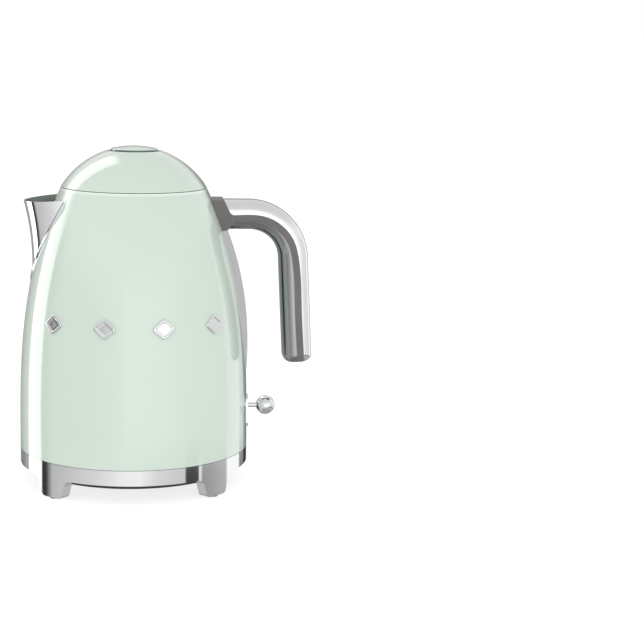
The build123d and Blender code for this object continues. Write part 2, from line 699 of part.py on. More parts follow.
def handle_backplate():
    """Steel plate inside the body that the bracket's screws pull against."""
    heights = bracket_screw_heights()
    plate = block((0, BODY_R), (-9, 9), (heights[1] - 5, heights[0] + 3.5))
    plate &= INSIDE - body_form(-WALL - 1.5)
    plate = largest(plate & block((20, BODY_R), (-20, 20), (0, BODY_TOP)))
    for z in heights:
        plate -= Pos(body_radius(z), 0, z) * Rot(0, 90, 0) * Cylinder(BASE_SCREW_R, 16)
    return plate


def handle_screws():
    """Two screws through the backplate and the body into the bracket."""
    pieces = []
    for z in bracket_screw_heights():
        seat = body_radius(z + 3) - WALL - 1.5
        shank = Pos(seat + 2.5, 0, z) * Rot(0, 90, 0) * Cylinder(BASE_SCREW_R, 9)
        head = (Pos(seat - 2.6, 0, z) * Rot(0, 90, 0) * Cylinder(2.8, 3.4))
        head -= INSIDE - body_form(-WALL - 1.5)
        pieces.append(largest(shank + head))
    return Compound(pieces)


# ---------------------------------------------------------------- water window
def window_face(z):
    """How far out the window stands at height z."""
    share = (z - WINDOW_PEAK) / (WINDOW_PEAK - WINDOW_LOW)
    return body_radius(z) + WINDOW_PROUD * (1 - share**2)


def window_top():
    """Upper end of the window, under the handle's bracket."""
    return BODY_TOP - 8.0 - BRACKET_DEPTH - SEAM


def window_form(half, low, high, inset=0.0):
    """Bulged strip on the body, inset below the window's face."""
    steps = 7
    heights = [low + (high - low) * i / (steps - 1) for i in range(steps)]
    front = Spline(*[(window_face(z) - inset, 0, z) for z in heights])
    inner_x = NECK_R - 5
    lines = [front, Line(front @ 1, (inner_x, 0, high)), Line((inner_x, 0, high), (inner_x, 0, low)),
             Line((inner_x, 0, low), front @ 0)]
    return extrude(make_face(lines), half, dir=(0, 1, 0), both=True)


def lens_way(half, margin):
    """Straight-sided slot that the lens stands in."""
    return block((NECK_R - 5, BODY_R + 20), (-half, half),
                 (WINDOW_LOW + margin, window_top() - margin))


def window_frame():
    frame = window_form(WINDOW_HALF, WINDOW_LOW, window_top())
    front_edges = frame.edges().filter_by(GeomType.BSPLINE)
    frame = fillet(front_edges, 2.4) if len(front_edges) == 2 else frame
    return largest((frame - OUTSIDE) - lens_way(LENS_HALF, LENS_MARGIN))


def window_lens():
    strip = window_form(LENS_HALF, WINDOW_LOW + LENS_MARGIN, window_top() - LENS_MARGIN, 0.7)
    return largest(strip - body_form(-WALL - GASKET_T))


def window_gasket():
    """Seal between the lens and the inside of the body."""
    band = INSIDE - body_form(-WALL - GASKET_T)
    outline = block((NECK_R - 5, BODY_R + 20), (-WINDOW_HALF, WINDOW_HALF),
                    (WINDOW_LOW + 2, window_top() - 2))
    return largest((band & outline) - lens_way(LENS_HALF, LENS_MARGIN))


# ---------------------------------------------------------------- lever
def ball_x():
    """Centre of the lever's ball."""
    return BODY_R + LEVER_REACH


def lever_ball():
    ball = Pos(ball_x(), 0, LEVER_Z) * Sphere(LEVER_BALL_R)
    return ball - stem_form(LEVER_STEM_R)


def stem_form(radius):
    """The stem's cylinder, from inside the hub to inside the ball."""
    first = LEVER_X + 3
    last = ball_x() - 2
    return Pos((first + last) / 2, 0, LEVER_Z) * Rot(0, 90, 0) * Cylinder(radius, last - first)


def lever_stem():
    return stem_form(LEVER_STEM_R)


def lever_hub():
    """Plastic rocker on the pivot pin, with a tail that works the switch."""
    hub = cross_rod(LEVER_HUB_R, LEVER_X, LEVER_Z, -LEVER_HUB_HALF, LEVER_HUB_HALF)
    hub += block((LEVER_X, LEVER_X + 12), (-3, 3), (LEVER_Z - 3, LEVER_Z + 3))
    hub += block((LEVER_X - 9, LEVER_X), (-3, 3), (LEVER_Z - 1.2, LEVER_Z + 1.2))
    hub -= cross_rod(LEVER_PIN_R + FIT, LEVER_X, LEVER_Z, -10, 10)
    return hub - stem_form(LEVER_STEM_R)


def lever_pin():
    return cross_rod(LEVER_PIN_R, LEVER_X, LEVER_Z, -LEVER_HUB_HALF - 4, LEVER_HUB_HALF + 4)


def lever_bracket():
    """Two cheeks on the control block that carry the lever's pin."""
    inner = LEVER_HUB_HALF + SEAM + 0.3
    base = block((CONTROL_R - 6, LEVER_X + 5), (-inner - 2.4, inner + 2.4),
                 (CONTROL_TOP - 12, LEVER_Z + 4))
    base -= block((0, LEVER_X + 10), (-inner, inner), (CONTROL_TOP - 13, LEVER_Z + 10))
    base += block((CONTROL_R - 6, LEVER_X + 5), (-inner - 2.4, inner + 2.4),
                  (CONTROL_TOP - 12, CONTROL_TOP - 9.5))
    base -= cross_rod(LEVER_PIN_R, LEVER_X, LEVER_Z, -20, 20)
    base -= block((-BODY_R, BODY_R), (-27, 27), (0, CONTROL_TOP)) & disc(CONTROL_R, 0, CONTROL_TOP)
    base -= block((0, ELEMENT_R + ELEMENT_TUBE_R + 1), (-20, 20), (CONTROL_TOP, FLOOR_Z))
    return largest(base)


def lever_plate():
    """Bright slotted plate round the lever's stem, on the outside of the body."""
    plate = block((BODY_R - 10, BODY_R + 10), (-PLATE_HALF, PLATE_HALF),
                  (PLATE_SLOT_LOW - PLATE_BORDER, PLATE_SLOT_HIGH + PLATE_BORDER))
    plate = fillet(plate.edges().filter_by(Axis.X), 3.0)
    plate &= body_form(PLATE_PROUD) - OUTSIDE
    return plate - block((0, BODY_R + 10), (-PLATE_SLOT_HALF, PLATE_SLOT_HALF),
                         (PLATE_SLOT_LOW, PLATE_SLOT_HIGH))


# ---------------------------------------------------------------- neck and hinge
def hinge_notch():
    """Room at the back of the neck for the lid's hinge leaf."""
    half = KNUCKLE_HALF + SEAM + 0.1
    low = HINGE_Z - KNUCKLE_R - 1.4
    way_up = block((COLLAR_BORE_R - 6, HINGE_X + 0.5), (-half, half), (low, BODY_TOP + 5))
    knuckle_room = block((COLLAR_BORE_R - 6, NECK_R + 5), (-half, half),
                         (low, HINGE_Z + KNUCKLE_R + 0.6))
    return way_up + knuckle_room


def keeper_notch():
    """Notch in the front of the collar that the latch's tongue stands in."""
    half = LATCH_HALF + KEEPER_GAP
    return block((LATCH_TIP - SLIDE_GAP, -COLLAR_BORE_R + 4), (-half, half),
                 (LATCH_Z - KEEPER_GAP, BODY_TOP + 5))


def rim_collar():
    """Moulded ring inside the neck: seat of the lid's plug, keeper and hinge ears."""
    lip_z = FLANGE_TOP
    collar = turned((COLLAR_BORE_R, BODY_TOP - COLLAR_DEPTH),
                    (COLLAR_BORE_R + COLLAR_WALL, BODY_TOP - COLLAR_DEPTH),
                    (COLLAR_BORE_R + COLLAR_WALL, lip_z), (COLLAR_LIP_OUT_R, lip_z),
                    (COLLAR_LIP_OUT_R, BODY_TOP), (COLLAR_BORE_R, BODY_TOP))
    ears = block((COLLAR_BORE_R - 5, NECK_R + 2), (-EAR_HALF, EAR_HALF),
                 (HINGE_Z - KNUCKLE_R - 0.6, FLANGE_TOP - WALL)) & INSIDE
    collar += ears - disc(COLLAR_BORE_R, 0, BODY_TOP)
    collar -= hinge_notch()
    collar -= keeper_notch()
    collar -= Pos(PLUG_SWING, 0, 0) * disc(COLLAR_BORE_R, PLUG_LOW - SEAM, BODY_TOP + 1)
    return largest(collar - cross_rod(HINGE_PIN_R, HINGE_X, HINGE_Z, -30, 30))


def hinge_pin():
    return cross_rod(HINGE_PIN_R, HINGE_X, HINGE_Z, -EAR_HALF, EAR_HALF)


def hinge_spring():
    """Coil round the middle of the hinge pin, drawn as its sleeve."""
    sleeve = cross_rod(HINGE_SPRING_R, HINGE_X, HINGE_Z, -HINGE_SPRING_HALF, HINGE_SPRING_HALF)
    return sleeve - cross_rod(HINGE_PIN_R, HINGE_X, HINGE_Z, -30, 30)


# ---------------------------------------------------------------- lid
def lid_shell():
    """Domed sheet with a turned-down well round the button."""
    hole_r = BUTTON_R + BUTTON_GROOVE
    well_low = dome_height(hole_r) - WELL_DEPTH
    outer = dome_arc(0, dome_edge(0, LID_EDGE), hole_r)
    inner = dome_arc(WALL, hole_r + WALL, dome_edge(WALL, LID_EDGE))
    well = Polyline(outer @ 1, (hole_r, 0, well_low), (hole_r + WALL, 0, well_low), inner @ 0)
    return revolve(make_face([outer, *well.edges(), inner, Line(inner @ 1, outer @ 0)]), Axis.Z)


def lid_inner_cover():
    """Cup that closes the lid's underside and plugs the neck."""
    cup = disc(PLUG_R, PLUG_LOW, FLANGE_LID_Z) - \
        disc(PLUG_R - PLUG_WALL, PLUG_LOW + 1.1, FLANGE_LID_Z + 1)
    cup += tube(PLUG_R - PLUG_WALL, NECK_R, FLANGE_LID_Z, CHASSIS_Z) & dome_form(WALL)
    rails = block((-PLUG_R + 6, -16), (-LATCH_HALF - 2, LATCH_HALF + 2),
                  (PLUG_LOW + 1, LATCH_Z + LATCH_T + 1))
    rails -= block((-PLUG_R, 0), (-LATCH_HALF - SEAM, LATCH_HALF + SEAM),
                   (PLUG_LOW + 1.1, BODY_TOP))
    cup += rails.solids()
    way = block((-PLUG_R - 5, -PLUG_R + 6), (-LATCH_HALF - SLIDE_GAP, LATCH_HALF + SLIDE_GAP),
                (LATCH_Z - SLIDE_GAP, LATCH_Z + LATCH_T + SLIDE_GAP))
    cup -= way
    cup -= seal_form()
    cup -= screw_holes(lid_screw_circle(), BASE_SCREW_R, 0, CHASSIS_Z + 1, 3, 60)
    return cup + latch_post()


def lid_screw_circle():
    """Circle of the screws that join the inner cover to the chassis."""
    return COLLAR_LIP_OUT_R - 3.6


def seal_form():
    """Groove and seal round the plug, above the latch and the hinge leaf."""
    return tube(PLUG_R - 0.8, PLUG_R + SLIDE_GAP, BODY_TOP - 1.9, BODY_TOP - 0.3)


def lid_seal():
    back = block((PLUG_R - 5, PLUG_R + 5), (-KNUCKLE_HALF - 0.6, KNUCKLE_HALF + 0.6),
                 (BODY_TOP - 5, BODY_TOP))
    return seal_form() - back


def lid_chassis():
    """Moulded plate under the dome with the button's guide."""
    plate = disc(NECK_R, CHASSIS_Z, CHASSIS_Z + CHASSIS_T) & dome_form(WALL, CHASSIS_Z)
    guide_top = dome_height(GUIDE_OUT_R) - BUTTON_SKIRT - 1
    plate += tube(GUIDE_IN_R, GUIDE_OUT_R, CHASSIS_Z, guide_top)
    plate += lid_bosses()
    plate -= block((-3.4, 9.4), (-3.4, 3.4), (CHASSIS_Z - 1, CHASSIS_Z + CHASSIS_T + 1))
    return plate - screw_holes(lid_screw_circle(), BASE_SCREW_R, 0, CHASSIS_Z + 4, 3, 60)


def lid_bosses():
    """Three screw bosses on the chassis, trimmed to the dome."""
    boss = Pos(lid_screw_circle() - 1, 0, CHASSIS_Z + CHASSIS_T + 1) * Cylinder(BOSS_R, 6)
    return (around(boss, 3, 60) & dome_form(WALL, CHASSIS_Z + 0.5)).solids()


def lid_screws():
    head = Pos(lid_screw_circle(), 0, FLANGE_LID_Z + 0.3) * Cylinder(BASE_SCREW_R, 0.6)
    shank = Pos(lid_screw_circle(), 0, (FLANGE_LID_Z + CHASSIS_Z + 4) / 2) * \
        Cylinder(BASE_SCREW_R, CHASSIS_Z + 4 - FLANGE_LID_Z)
    return around(head + shank, 3, 60)


def lid_hinge_leaf():
    """Steel leaf from the plug to two knuckles on the hinge pin."""
    leaf = block((PLUG_R - 2, HINGE_X), (-KNUCKLE_HALF, KNUCKLE_HALF),
                 (HINGE_Z - LEAF_T + 0.2, HINGE_Z + 0.2))
    leaf += block((PLUG_R - 2, PLUG_R + 1.4), (-KNUCKLE_HALF, KNUCKLE_HALF),
                  (HINGE_Z - LEAF_T + 0.2, LID_EDGE - 0.6))
    for side in (-1, 1):
        low, high = sorted((side * (HINGE_SPRING_HALF + SEAM), side * KNUCKLE_HALF))
        leaf += cross_rod(KNUCKLE_R, HINGE_X, HINGE_Z, low, high)
    gap = HINGE_SPRING_HALF + SEAM
    leaf -= cross_rod(KNUCKLE_R + 0.3, HINGE_X, HINGE_Z, -gap, gap)
    leaf -= cross_rod(HINGE_PIN_R + FIT, HINGE_X, HINGE_Z, -30, 30)
    return largest(leaf - disc(PLUG_R, 0, BODY_TOP + 20))


# ---------------------------------------------------------------- button and latch
def button_crown():
    """Height of the button's crown."""
    return DOME_Z + DOME_R + BUTTON_RISE


def button_cap():
    """Painted cap: a shallow crown with a skirt that hides the guide."""
    low = dome_height(BUTTON_R) + BUTTON_RISE - BUTTON_SKIRT
    cap = Pos(0, 0, BUTTON_RISE) * dome_form(0, LID_EDGE + 5)
    cap &= disc(BUTTON_R, low, button_crown() + 1)
    hollow = Pos(0, 0, BUTTON_RISE) * dome_form(BUTTON_WALL, LID_EDGE + 5)
    return cap - (hollow & disc(BUTTON_R - BUTTON_WALL, low - 1, button_crown()))


def button_ceiling():
    """Underside of the button's crown at the stem."""
    return dome_height(GUIDE_IN_R, BUTTON_WALL) + BUTTON_RISE


def wedge_line(z):
    """Where the stem's 45 degree wedge face is at height z."""
    return 1.5 + (z - LATCH_Z) - SLIDE_GAP


def button_stem():
    """Hollow stem in the chassis guide, with a flat wedge that works the latch."""
    outer = GUIDE_IN_R - GUIDE_FIT
    low = CHASSIS_Z + CHASSIS_T + BUTTON_TRAVEL + 1
    stem = tube(outer - 2, outer, low, button_ceiling() + 2)
    stem += disc(outer, low, low + 2)
    stem &= Pos(0, 0, BUTTON_RISE) * dome_form(BUTTON_WALL, LATCH_Z)
    tip = LATCH_Z + BUTTON_TRAVEL + 0.1
    high = LATCH_Z + 6.5
    wedge = slab([(0.5, tip), (wedge_line(tip), tip), (wedge_line(high), high),
                  (wedge_line(high), low + 1), (0.5, low + 1)], 2.6)
    return stem + wedge


def button_spring():
    """Coil between the chassis and the button's crown, drawn as its sleeve."""
    inner = GUIDE_OUT_R + 0.4
    outer = BUTTON_R - BUTTON_WALL - 0.4
    high = dome_height(outer, BUTTON_WALL) + BUTTON_RISE - 0.2
    return tube(inner, outer, CHASSIS_Z + CHASSIS_T, high)


def latch_bolt():
    """Sliding bar: tongue at the front, sloped window over the centre, spring seat behind."""
    high = LATCH_Z + LATCH_T
    bar = block((LATCH_TIP, LATCH_TAIL), (-LATCH_HALF, LATCH_HALF), (LATCH_Z, high))
    window = slab([(-3.6, LATCH_Z - 1), (0.5, LATCH_Z - 1), (1.5, LATCH_Z), (1.5 + LATCH_T, high),
                   (2.5 + LATCH_T, high + 1), (-3.6, high + 1)], 2.6 + SEAM)
    nub = Pos(LATCH_TAIL + 1, 0, LATCH_Z + LATCH_T / 2) * Rot(0, 90, 0) * Cylinder(1.1, 2)
    return bar - window + nub


def latch_spring():
    """Coil behind the latch, drawn as its sleeve, against a post on the inner cover."""
    low = LATCH_TAIL
    high = latch_post_x()
    ring = Cylinder(1.9, high - low) - Cylinder(1.2, high - low + 1)
    return Pos((low + high) / 2, 0, LATCH_Z + LATCH_T / 2) * Rot(0, 90, 0) * ring


def latch_post_x():
    """Face of the post that the latch spring pushes against."""
    return LATCH_TAIL + 10


def latch_post():
    """Post on the inner cover behind the latch spring."""
    face = latch_post_x()
    return block((face, face + 3), (-4, 4), (PLUG_LOW + 1, LATCH_Z + LATCH_T))


# ---------------------------------------------------------------- inside the tank
def filter_plane():
    """Plane of the limescale filter, leaning with the wall behind the spout."""
    low = -sqrt(body_radius(FILTER_LOW)**2 - FILTER_HALF**2) + WALL + 1
    high = -sqrt(body_radius(FILTER_HIGH)**2 - FILTER_HALF**2) + WALL + 1
    middle = ((low + high) / 2, 0, (FILTER_LOW + FILTER_HIGH) / 2)
    return Plane(middle, x_dir=(0, 1, 0), z_dir=(FILTER_HIGH - FILTER_LOW, 0, low - high))


def filter_frame():
    """Moulded frame that stands across the opening behind the spout."""
    tall = FILTER_HIGH - FILTER_LOW
    plate = Rectangle(2 * FILTER_HALF, tall) - Rectangle(2 * (FILTER_HALF - FILTER_RIM),
                                                         tall - 2 * FILTER_RIM)
    plate += Rectangle(1.6, tall - 1)
    plate = extrude(filter_plane() * plate, FILTER_T / 2, both=True)
    seat = block((-BODY_R, 0), (FILTER_HALF - 1.5, FILTER_HALF), (FILTER_LOW + 2, FILTER_HIGH - 2))
    seat -= extrude(filter_plane() * Rectangle(200, 200), 100)
    seats = (seat + seat.mirror(Plane.XZ)) & INSIDE
    seats -= extrude(filter_plane() * Rectangle(200, 200), -100)
    return largest((plate & INSIDE) + seats.solids() if seats.solids() else plate & INSIDE)


def filter_mesh():
    """Thin perforated sheet in the frame."""
    tall = FILTER_HIGH - FILTER_LOW
    sheet = Rectangle(2 * (FILTER_HALF - FILTER_RIM) + 1, tall - 2 * FILTER_RIM + 1)
    sheet -= GridLocations(3.4, 3.6, 8, 6) * Circle(1.1)
    return extrude(filter_plane().offset(FILTER_T / 2) * sheet, MESH_T)


def steam_tube():
    """Upright tube that takes steam from under the lid down to the switch."""
    low = CONTROL_TOP + 3
    high = BODY_TOP - COLLAR_DEPTH - 3
    pipe = Cylinder(STEAM_R, high - low) - Cylinder(STEAM_R - STEAM_WALL, high - low + 1)
    return Rot(0, 0, STEAM_ANGLE) * Pos(STEAM_CIRCLE, 0, (low + high) / 2) * pipe


def steam_hole():
    """Hole through the tank floor for the steam tube."""
    hole = Pos(STEAM_CIRCLE, 0, FLOOR_Z) * Cylinder(STEAM_R, 20)
    return Rot(0, 0, STEAM_ANGLE) * hole


# ---------------------------------------------------------------- all pieces
PIECES = {
    "base_ring": base_ring,
    "base_platform": base_platform,
    "base_bottom_cover": base_bottom_cover,
    "base_cover_screws": base_cover_screws,
    "base_foot_pads": base_foot_pads,
    "base_spigot": base_spigot,
    "base_ring_contact": base_ring_contact,
    "base_centre_contact": base_centre_contact,
    "cord_gland": cord_gland,
    "socket_seal_ring": socket_seal_ring,
    "bottom_cover": bottom_cover,
    "bottom_cover_screws": bottom_cover_screws,
    "tank_floor": tank_floor,
    "heat_diffuser": heat_diffuser,
    "heating_element": heating_element,
    "control_housing": control_housing,
    "connector_carrier": connector_carrier,
    "socket_ring_pin": socket_ring_pin,
    "socket_centre_pin": socket_centre_pin,
    "bimetal_discs": bimetal_discs,
    "body_shell": body_shell,
    "spout": spout,
    "front_ornaments": front_ornaments,
    "handle_core": handle_core,
    "handle_outer_shell": handle_outer_shell,
    "handle_inner_shell": handle_inner_shell,
    "handle_backplate": handle_backplate,
    "handle_screws": handle_screws,
    "window_frame": window_frame,
    "window_lens": window_lens,
    "window_gasket": window_gasket,
    "lever_bracket": lever_bracket,
    "lever_pin": lever_pin,
    "lever_plate": lever_plate,
    "lever_hub": lever_hub,
    "lever_stem": lever_stem,
    "lever_ball": lever_ball,
    "rim_collar": rim_collar,
    "hinge_pin": hinge_pin,
    "hinge_spring": hinge_spring,
    "filter_frame": filter_frame,
    "filter_mesh": filter_mesh,
    "steam_tube": steam_tube,
    "lid_shell": lid_shell,
    "lid_inner_cover": lid_inner_cover,
    "lid_seal": lid_seal,
    "lid_chassis": lid_chassis,
    "lid_screws": lid_screws,
    "lid_hinge_leaf": lid_hinge_leaf,
    "button_cap": button_cap,
    "button_stem": button_stem,
    "button_spring": button_spring,
    "latch_bolt": latch_bolt,
    "latch_spring": latch_spring,
}

os.makedirs("parts", exist_ok=True)
for name, make in PIECES.items():
    export_step(make(), f"parts/{name}.step")
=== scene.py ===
"""Finished look of a cordless electric kettle on its power base, built round its fixed frame.

Lengths are metres. +Z is up, the handle is towards +X, the spout towards -X and the front
towards -Y. Each sub-assembly is a class: its sizes are fields, its methods build and dress it.
"""
import logging
import math
from dataclasses import dataclass, field
from enum import Enum
from typing import Any, Sequence

import bmesh
import bpy
from mathutils import Matrix, Vector


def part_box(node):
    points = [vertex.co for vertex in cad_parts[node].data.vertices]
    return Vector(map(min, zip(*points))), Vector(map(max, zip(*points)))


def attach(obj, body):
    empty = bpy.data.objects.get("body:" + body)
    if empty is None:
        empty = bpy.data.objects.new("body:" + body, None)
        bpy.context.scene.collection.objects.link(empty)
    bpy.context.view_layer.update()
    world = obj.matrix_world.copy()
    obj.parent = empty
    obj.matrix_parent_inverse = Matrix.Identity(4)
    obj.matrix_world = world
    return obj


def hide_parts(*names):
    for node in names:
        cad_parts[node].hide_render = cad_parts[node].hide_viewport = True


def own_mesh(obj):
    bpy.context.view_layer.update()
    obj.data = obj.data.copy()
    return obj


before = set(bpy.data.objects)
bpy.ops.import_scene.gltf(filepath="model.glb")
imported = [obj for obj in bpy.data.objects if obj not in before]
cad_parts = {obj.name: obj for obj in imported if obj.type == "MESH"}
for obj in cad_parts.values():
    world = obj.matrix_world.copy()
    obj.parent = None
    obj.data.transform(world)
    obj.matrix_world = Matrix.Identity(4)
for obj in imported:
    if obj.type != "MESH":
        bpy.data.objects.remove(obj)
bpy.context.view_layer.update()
MM = 0.001
LOG = logging.getLogger("kettle")

Colour = tuple[float, float, float]
Point = tuple[float, float, float]
Ramp = tuple[tuple[float, float], ...]


# ------------------------------------------------------------------ shader building blocks
class Socket:
    """One output socket of a shader graph; arithmetic on it adds Math nodes."""

    def __init__(self, graph: "Graph", link: bpy.types.NodeSocket) -> None:
        """Keep the graph that owns the socket, and the socket."""
        self.graph = graph
        self.link = link

    def _maths(self, operation: str, left: Any, right: Any) -> "Socket":
        """Add one Math node.

        Args:
            operation: Blender's name of the operation.
            left: Socket or number on the left.
            right: Socket or number on the right.

        Returns:
            The node's result.
        """
        return self.graph.node("ShaderNodeMath", {"operation": operation}, {0: left, 1: right})

    def __add__(self, other: Any) -> "Socket":
        """Sum."""
        return self._maths("ADD", self, other)

    def __radd__(self, other: Any) -> "Socket":
        """Reflected sum."""
        return self._maths("ADD", other, self)

    def __sub__(self, other: Any) -> "Socket":
        """Difference."""
        return self._maths("SUBTRACT", self, other)

    def __rsub__(self, other: Any) -> "Socket":
        """Reflected difference."""
        return self._maths("SUBTRACT", other, self)

    def __mul__(self, other: Any) -> "Socket":
        """Product."""
        return self._maths("MULTIPLY", self, other)

    def __rmul__(self, other: Any) -> "Socket":
        """Reflected product."""
        return self._maths("MULTIPLY", other, self)


class Graph:
    """Node tree of a material or of the world, with one method that adds every kind of node."""

    def __init__(self, tree: bpy.types.NodeTree) -> None:
        """Clear the tree and keep it."""
        self.tree = tree
        tree.nodes.clear()

    def node(self, kind: str, settings: dict[str, Any] | None = None,
             inputs: dict[Any, Any] | None = None, output: Any = 0) -> Socket:
        """Add a node, set its settings first and then its sockets.

        Args:
            kind: Blender's type name of the node.
            settings: Attributes of the node; "stops" is a ramp's list of (place, colour).
            inputs: Value, or Socket to link, for each input name or index.
            output: Name or index of the output that is returned.

        Returns:
            The chosen output.
        """
        made = self.tree.nodes.new(kind)
        for name, value in (settings or {}).items():
            if name == "stops":
                self._fill_ramp(made.color_ramp, value)
            else:
                setattr(made, name, value)
        for name, value in (inputs or {}).items():
            self.feed(made.inputs[name], value)
        return Socket(self, made.outputs[output]) if len(made.outputs) else Socket(self, None)

    def feed(self, target: bpy.types.NodeSocket, value: Any) -> None:
        """Link a Socket to an input, or set the input's own value.

        Args:
            target: Input that receives it.
            value: Socket to link or value to set.
        """
        if isinstance(value, Socket):
            self.tree.links.new(value.link, target)
        elif isinstance(value, tuple) and len(value) == 3 and target.type == "RGBA":
            target.default_value = (*value, 1.0)
        else:
            target.default_value = value

    @staticmethod
    def _fill_ramp(ramp: bpy.types.ColorRamp, stops: Sequence[tuple[float, Any]]) -> None:
        """Give a colour ramp its stops; a stop's colour is a grey number or three numbers.

        Args:
            ramp: The ramp to fill.
            stops: Position and colour of each stop.
        """
        while len(ramp.elements) > 1:
            ramp.elements.remove(ramp.elements[-1])
        for index, (place, colour) in enumerate(stops):
            stop = ramp.elements[0] if index == 0 else ramp.elements.new(place)
            stop.position = place
            stop.color = (*colour, 1.0) if isinstance(colour, tuple) else (colour,) * 3 + (1.0,)

    def position(self) -> Socket:
        """Place on the piece, in metres."""
        return self.node("ShaderNodeTexCoord", output="Object")

    def stretched(self, scale: Point) -> Socket:
        """Place on the piece with each axis multiplied by its own number."""
        return self.node("ShaderNodeMapping", {"vector_type": "POINT"},
                         {"Vector": self.position(), "Scale": scale}, "Vector")

    def noise(self, scale: float, detail: float = 3.0, where: Socket | None = None) -> Socket:
        """Soft noise from 0 to 1.

        Args:
            scale: Waves in a metre.
            detail: Octaves.
            where: Coordinates; the place on the piece if left out.

        Returns:
            The noise value.
        """
        return self.node("ShaderNodeTexNoise", {"noise_dimensions": "3D"},
                         {"Vector": where or self.position(), "Scale": scale, "Detail": detail}, 0)

    def spread(self, value: Socket, low: float, high: float) -> Socket:
        """Stretch a noise value's usual range, 0.3 to 0.7, to lie between low and high.

        Args:
            value: The noise value.
            low: What 0.3 becomes.
            high: What 0.7 becomes.

        Returns:
            The value as a socket.
        """
        return self.node("ShaderNodeMapRange", {"clamp": True},
                         {"Value": value, "From Min": 0.3, "From Max": 0.7,
                          "To Min": low, "To Max": high}, 0)

    def blend(self, factor: Any, first: Any, second: Any) -> Socket:
        """Mix two colours by a factor."""
        return self.node("ShaderNodeMix", {"data_type": "RGBA"},
                         {"Factor": factor, 6: first, 7: second}, 2)

    def bump(self, height: Socket, strength: float, depth: float) -> Socket:
        """Bump normal from a height, with its depth in metres."""
        return self.node("ShaderNodeBump", None,
                         {"Strength": strength, "Distance": depth, "Height": height}, "Normal")


@dataclass(frozen=True)
class Finish:
    """A surface finish: shared ground of all the finishes below.

    Attributes:
        name: Name of the material.
        slot: The record's slot that the finish belongs to; not used.
        colour: Base colour, linear.
        roughness: Middle of the roughness range.
    """

    name: str
    slot: str
    colour: Colour
    roughness: float

    def settings(self) -> dict[str, Any]:
        """Shader sockets that are the same all over the surface."""
        return {}

    def detail(self, graph: Graph) -> dict[str, Any]:
        """Shader sockets that vary over the surface."""
        return {}

    def material(self) -> bpy.types.Material:
        """Build the material once and reuse it after that.

        Returns:
            The finished material.
        """
        found = bpy.data.materials.get(self.name)
        if found:
            return found
        made = bpy.data.materials.new(self.name)
        made.use_nodes = True
        graph = Graph(made.node_tree)
        values = {"Base Color": self.colour, "Roughness": self.roughness}
        values.update(self.settings())
        values.update(self.detail(graph))
        shader = graph.node("ShaderNodeBsdfPrincipled", None, values)
        graph.node("ShaderNodeOutputMaterial", None, {"Surface": shader})
        made.diffuse_color = (*self.colour, 1.0)
        return made


@dataclass(frozen=True)
class Enamel(Finish):
    """Gloss stove enamel: a clear coat over a pale colour, with a trace of orange peel."""

    shade: Colour = (0.5, 0.6, 0.5)
    peel: float = 420.0
    rim_top: float = 218.0 * MM
    rim_deep: float = 2.2 * MM
    # pale colour of the painted highlight band under the body's mouth
    rim_highlight_colour: Colour = (0.72, 0.80, 0.73)

    def settings(self) -> dict[str, Any]:
        """Thick clear coat."""
        return {"Coat Weight": 1.0, "Coat Roughness": 0.03, "Coat IOR": 1.5, "IOR": 1.5}

    def detail(self, graph: Graph) -> dict[str, Any]:
        """Slow colour drift, fine pigment speckle, a painted highlight band under the body's mouth,
        and orange peel.

        Args:
            graph: Node tree that is being filled.

        Returns:
            Values and links by socket name.
        """
        drift = graph.noise(9.0, 2.0) * 0.6
        speckle = graph.noise(2600.0, 1.0) * 0.3
        return {
            # the base colour turns pale in a band under the mouth: a painted highlight
            "Base Color": graph.blend(self.rim(graph),
                                      graph.blend(drift + speckle, self.colour, self.shade),
                                      self.rim_highlight_colour),
            "Roughness": graph.noise(14.0, 1.0) * 0.02 + (self.roughness - 0.01),
            "Normal": graph.bump(graph.noise(self.peel, 1.5), 0.06, 0.00002),
        }

    def rim(self, graph: Graph) -> Socket:
        """Share of a painted highlight band just under the body's mouth, where the sheet rolls
        inwards.

        Args:
            graph: Node tree that is being filled.

        Returns:
            The value as a socket.
        """
        z = graph.node("ShaderNodeSeparateXYZ", None, {0: graph.position()}, "Z")
        spread = 4 * self.rim_deep
        share = (z - (self.rim_top - self.rim_deep)) * (1 / spread)
        return graph.node("ShaderNodeValToRGB", {"stops": [
            (0.0, 0.0), (0.12, 0.9), (0.2, 1.0), (0.25, 0.8), (0.28, 0.0)]}, {0: share}, 0)


@dataclass(frozen=True)
class LinedEnamel(Enamel):
    """Enamel on the outside of a steel vessel that is left bare and brushed inside."""

    steel: Colour = (0.58, 0.58, 0.575)
    steel_roughness: float = 0.3

    def detail(self, graph: Graph) -> dict[str, Any]:
        """The enamel's detail outside, and brushed steel where the wall faces the axis.

        Args:
            graph: Node tree that is being filled.

        Returns:
            Values and links by socket name.
        """
        values = super().detail(graph)
        outward = graph.node("ShaderNodeVectorMath", {"operation": "MULTIPLY"},
                             {0: graph.position(), 1: (1.0, 1.0, 0.0)}, 0)
        facing = graph.node("ShaderNodeVectorMath", {"operation": "DOT_PRODUCT"},
                            {0: graph.node("ShaderNodeTexCoord", output="Normal"), 1: outward},
                            "Value")
        inside = graph.node("ShaderNodeMath", {"operation": "LESS_THAN"}, {0: facing, 1: -0.004})
        brushed = graph.spread(graph.noise(1.0, 4.0, graph.stretched((90.0, 90.0, 6000.0))),
                               self.steel_roughness - 0.06, self.steel_roughness + 0.10)
        outer = 1.0 - inside
        values["Base Color"] = graph.blend(inside, values["Base Color"], self.steel)
        values["Roughness"] = values["Roughness"] * outer + brushed * inside
        values["Metallic"] = inside
        values["Coat Weight"] = outer
        return values


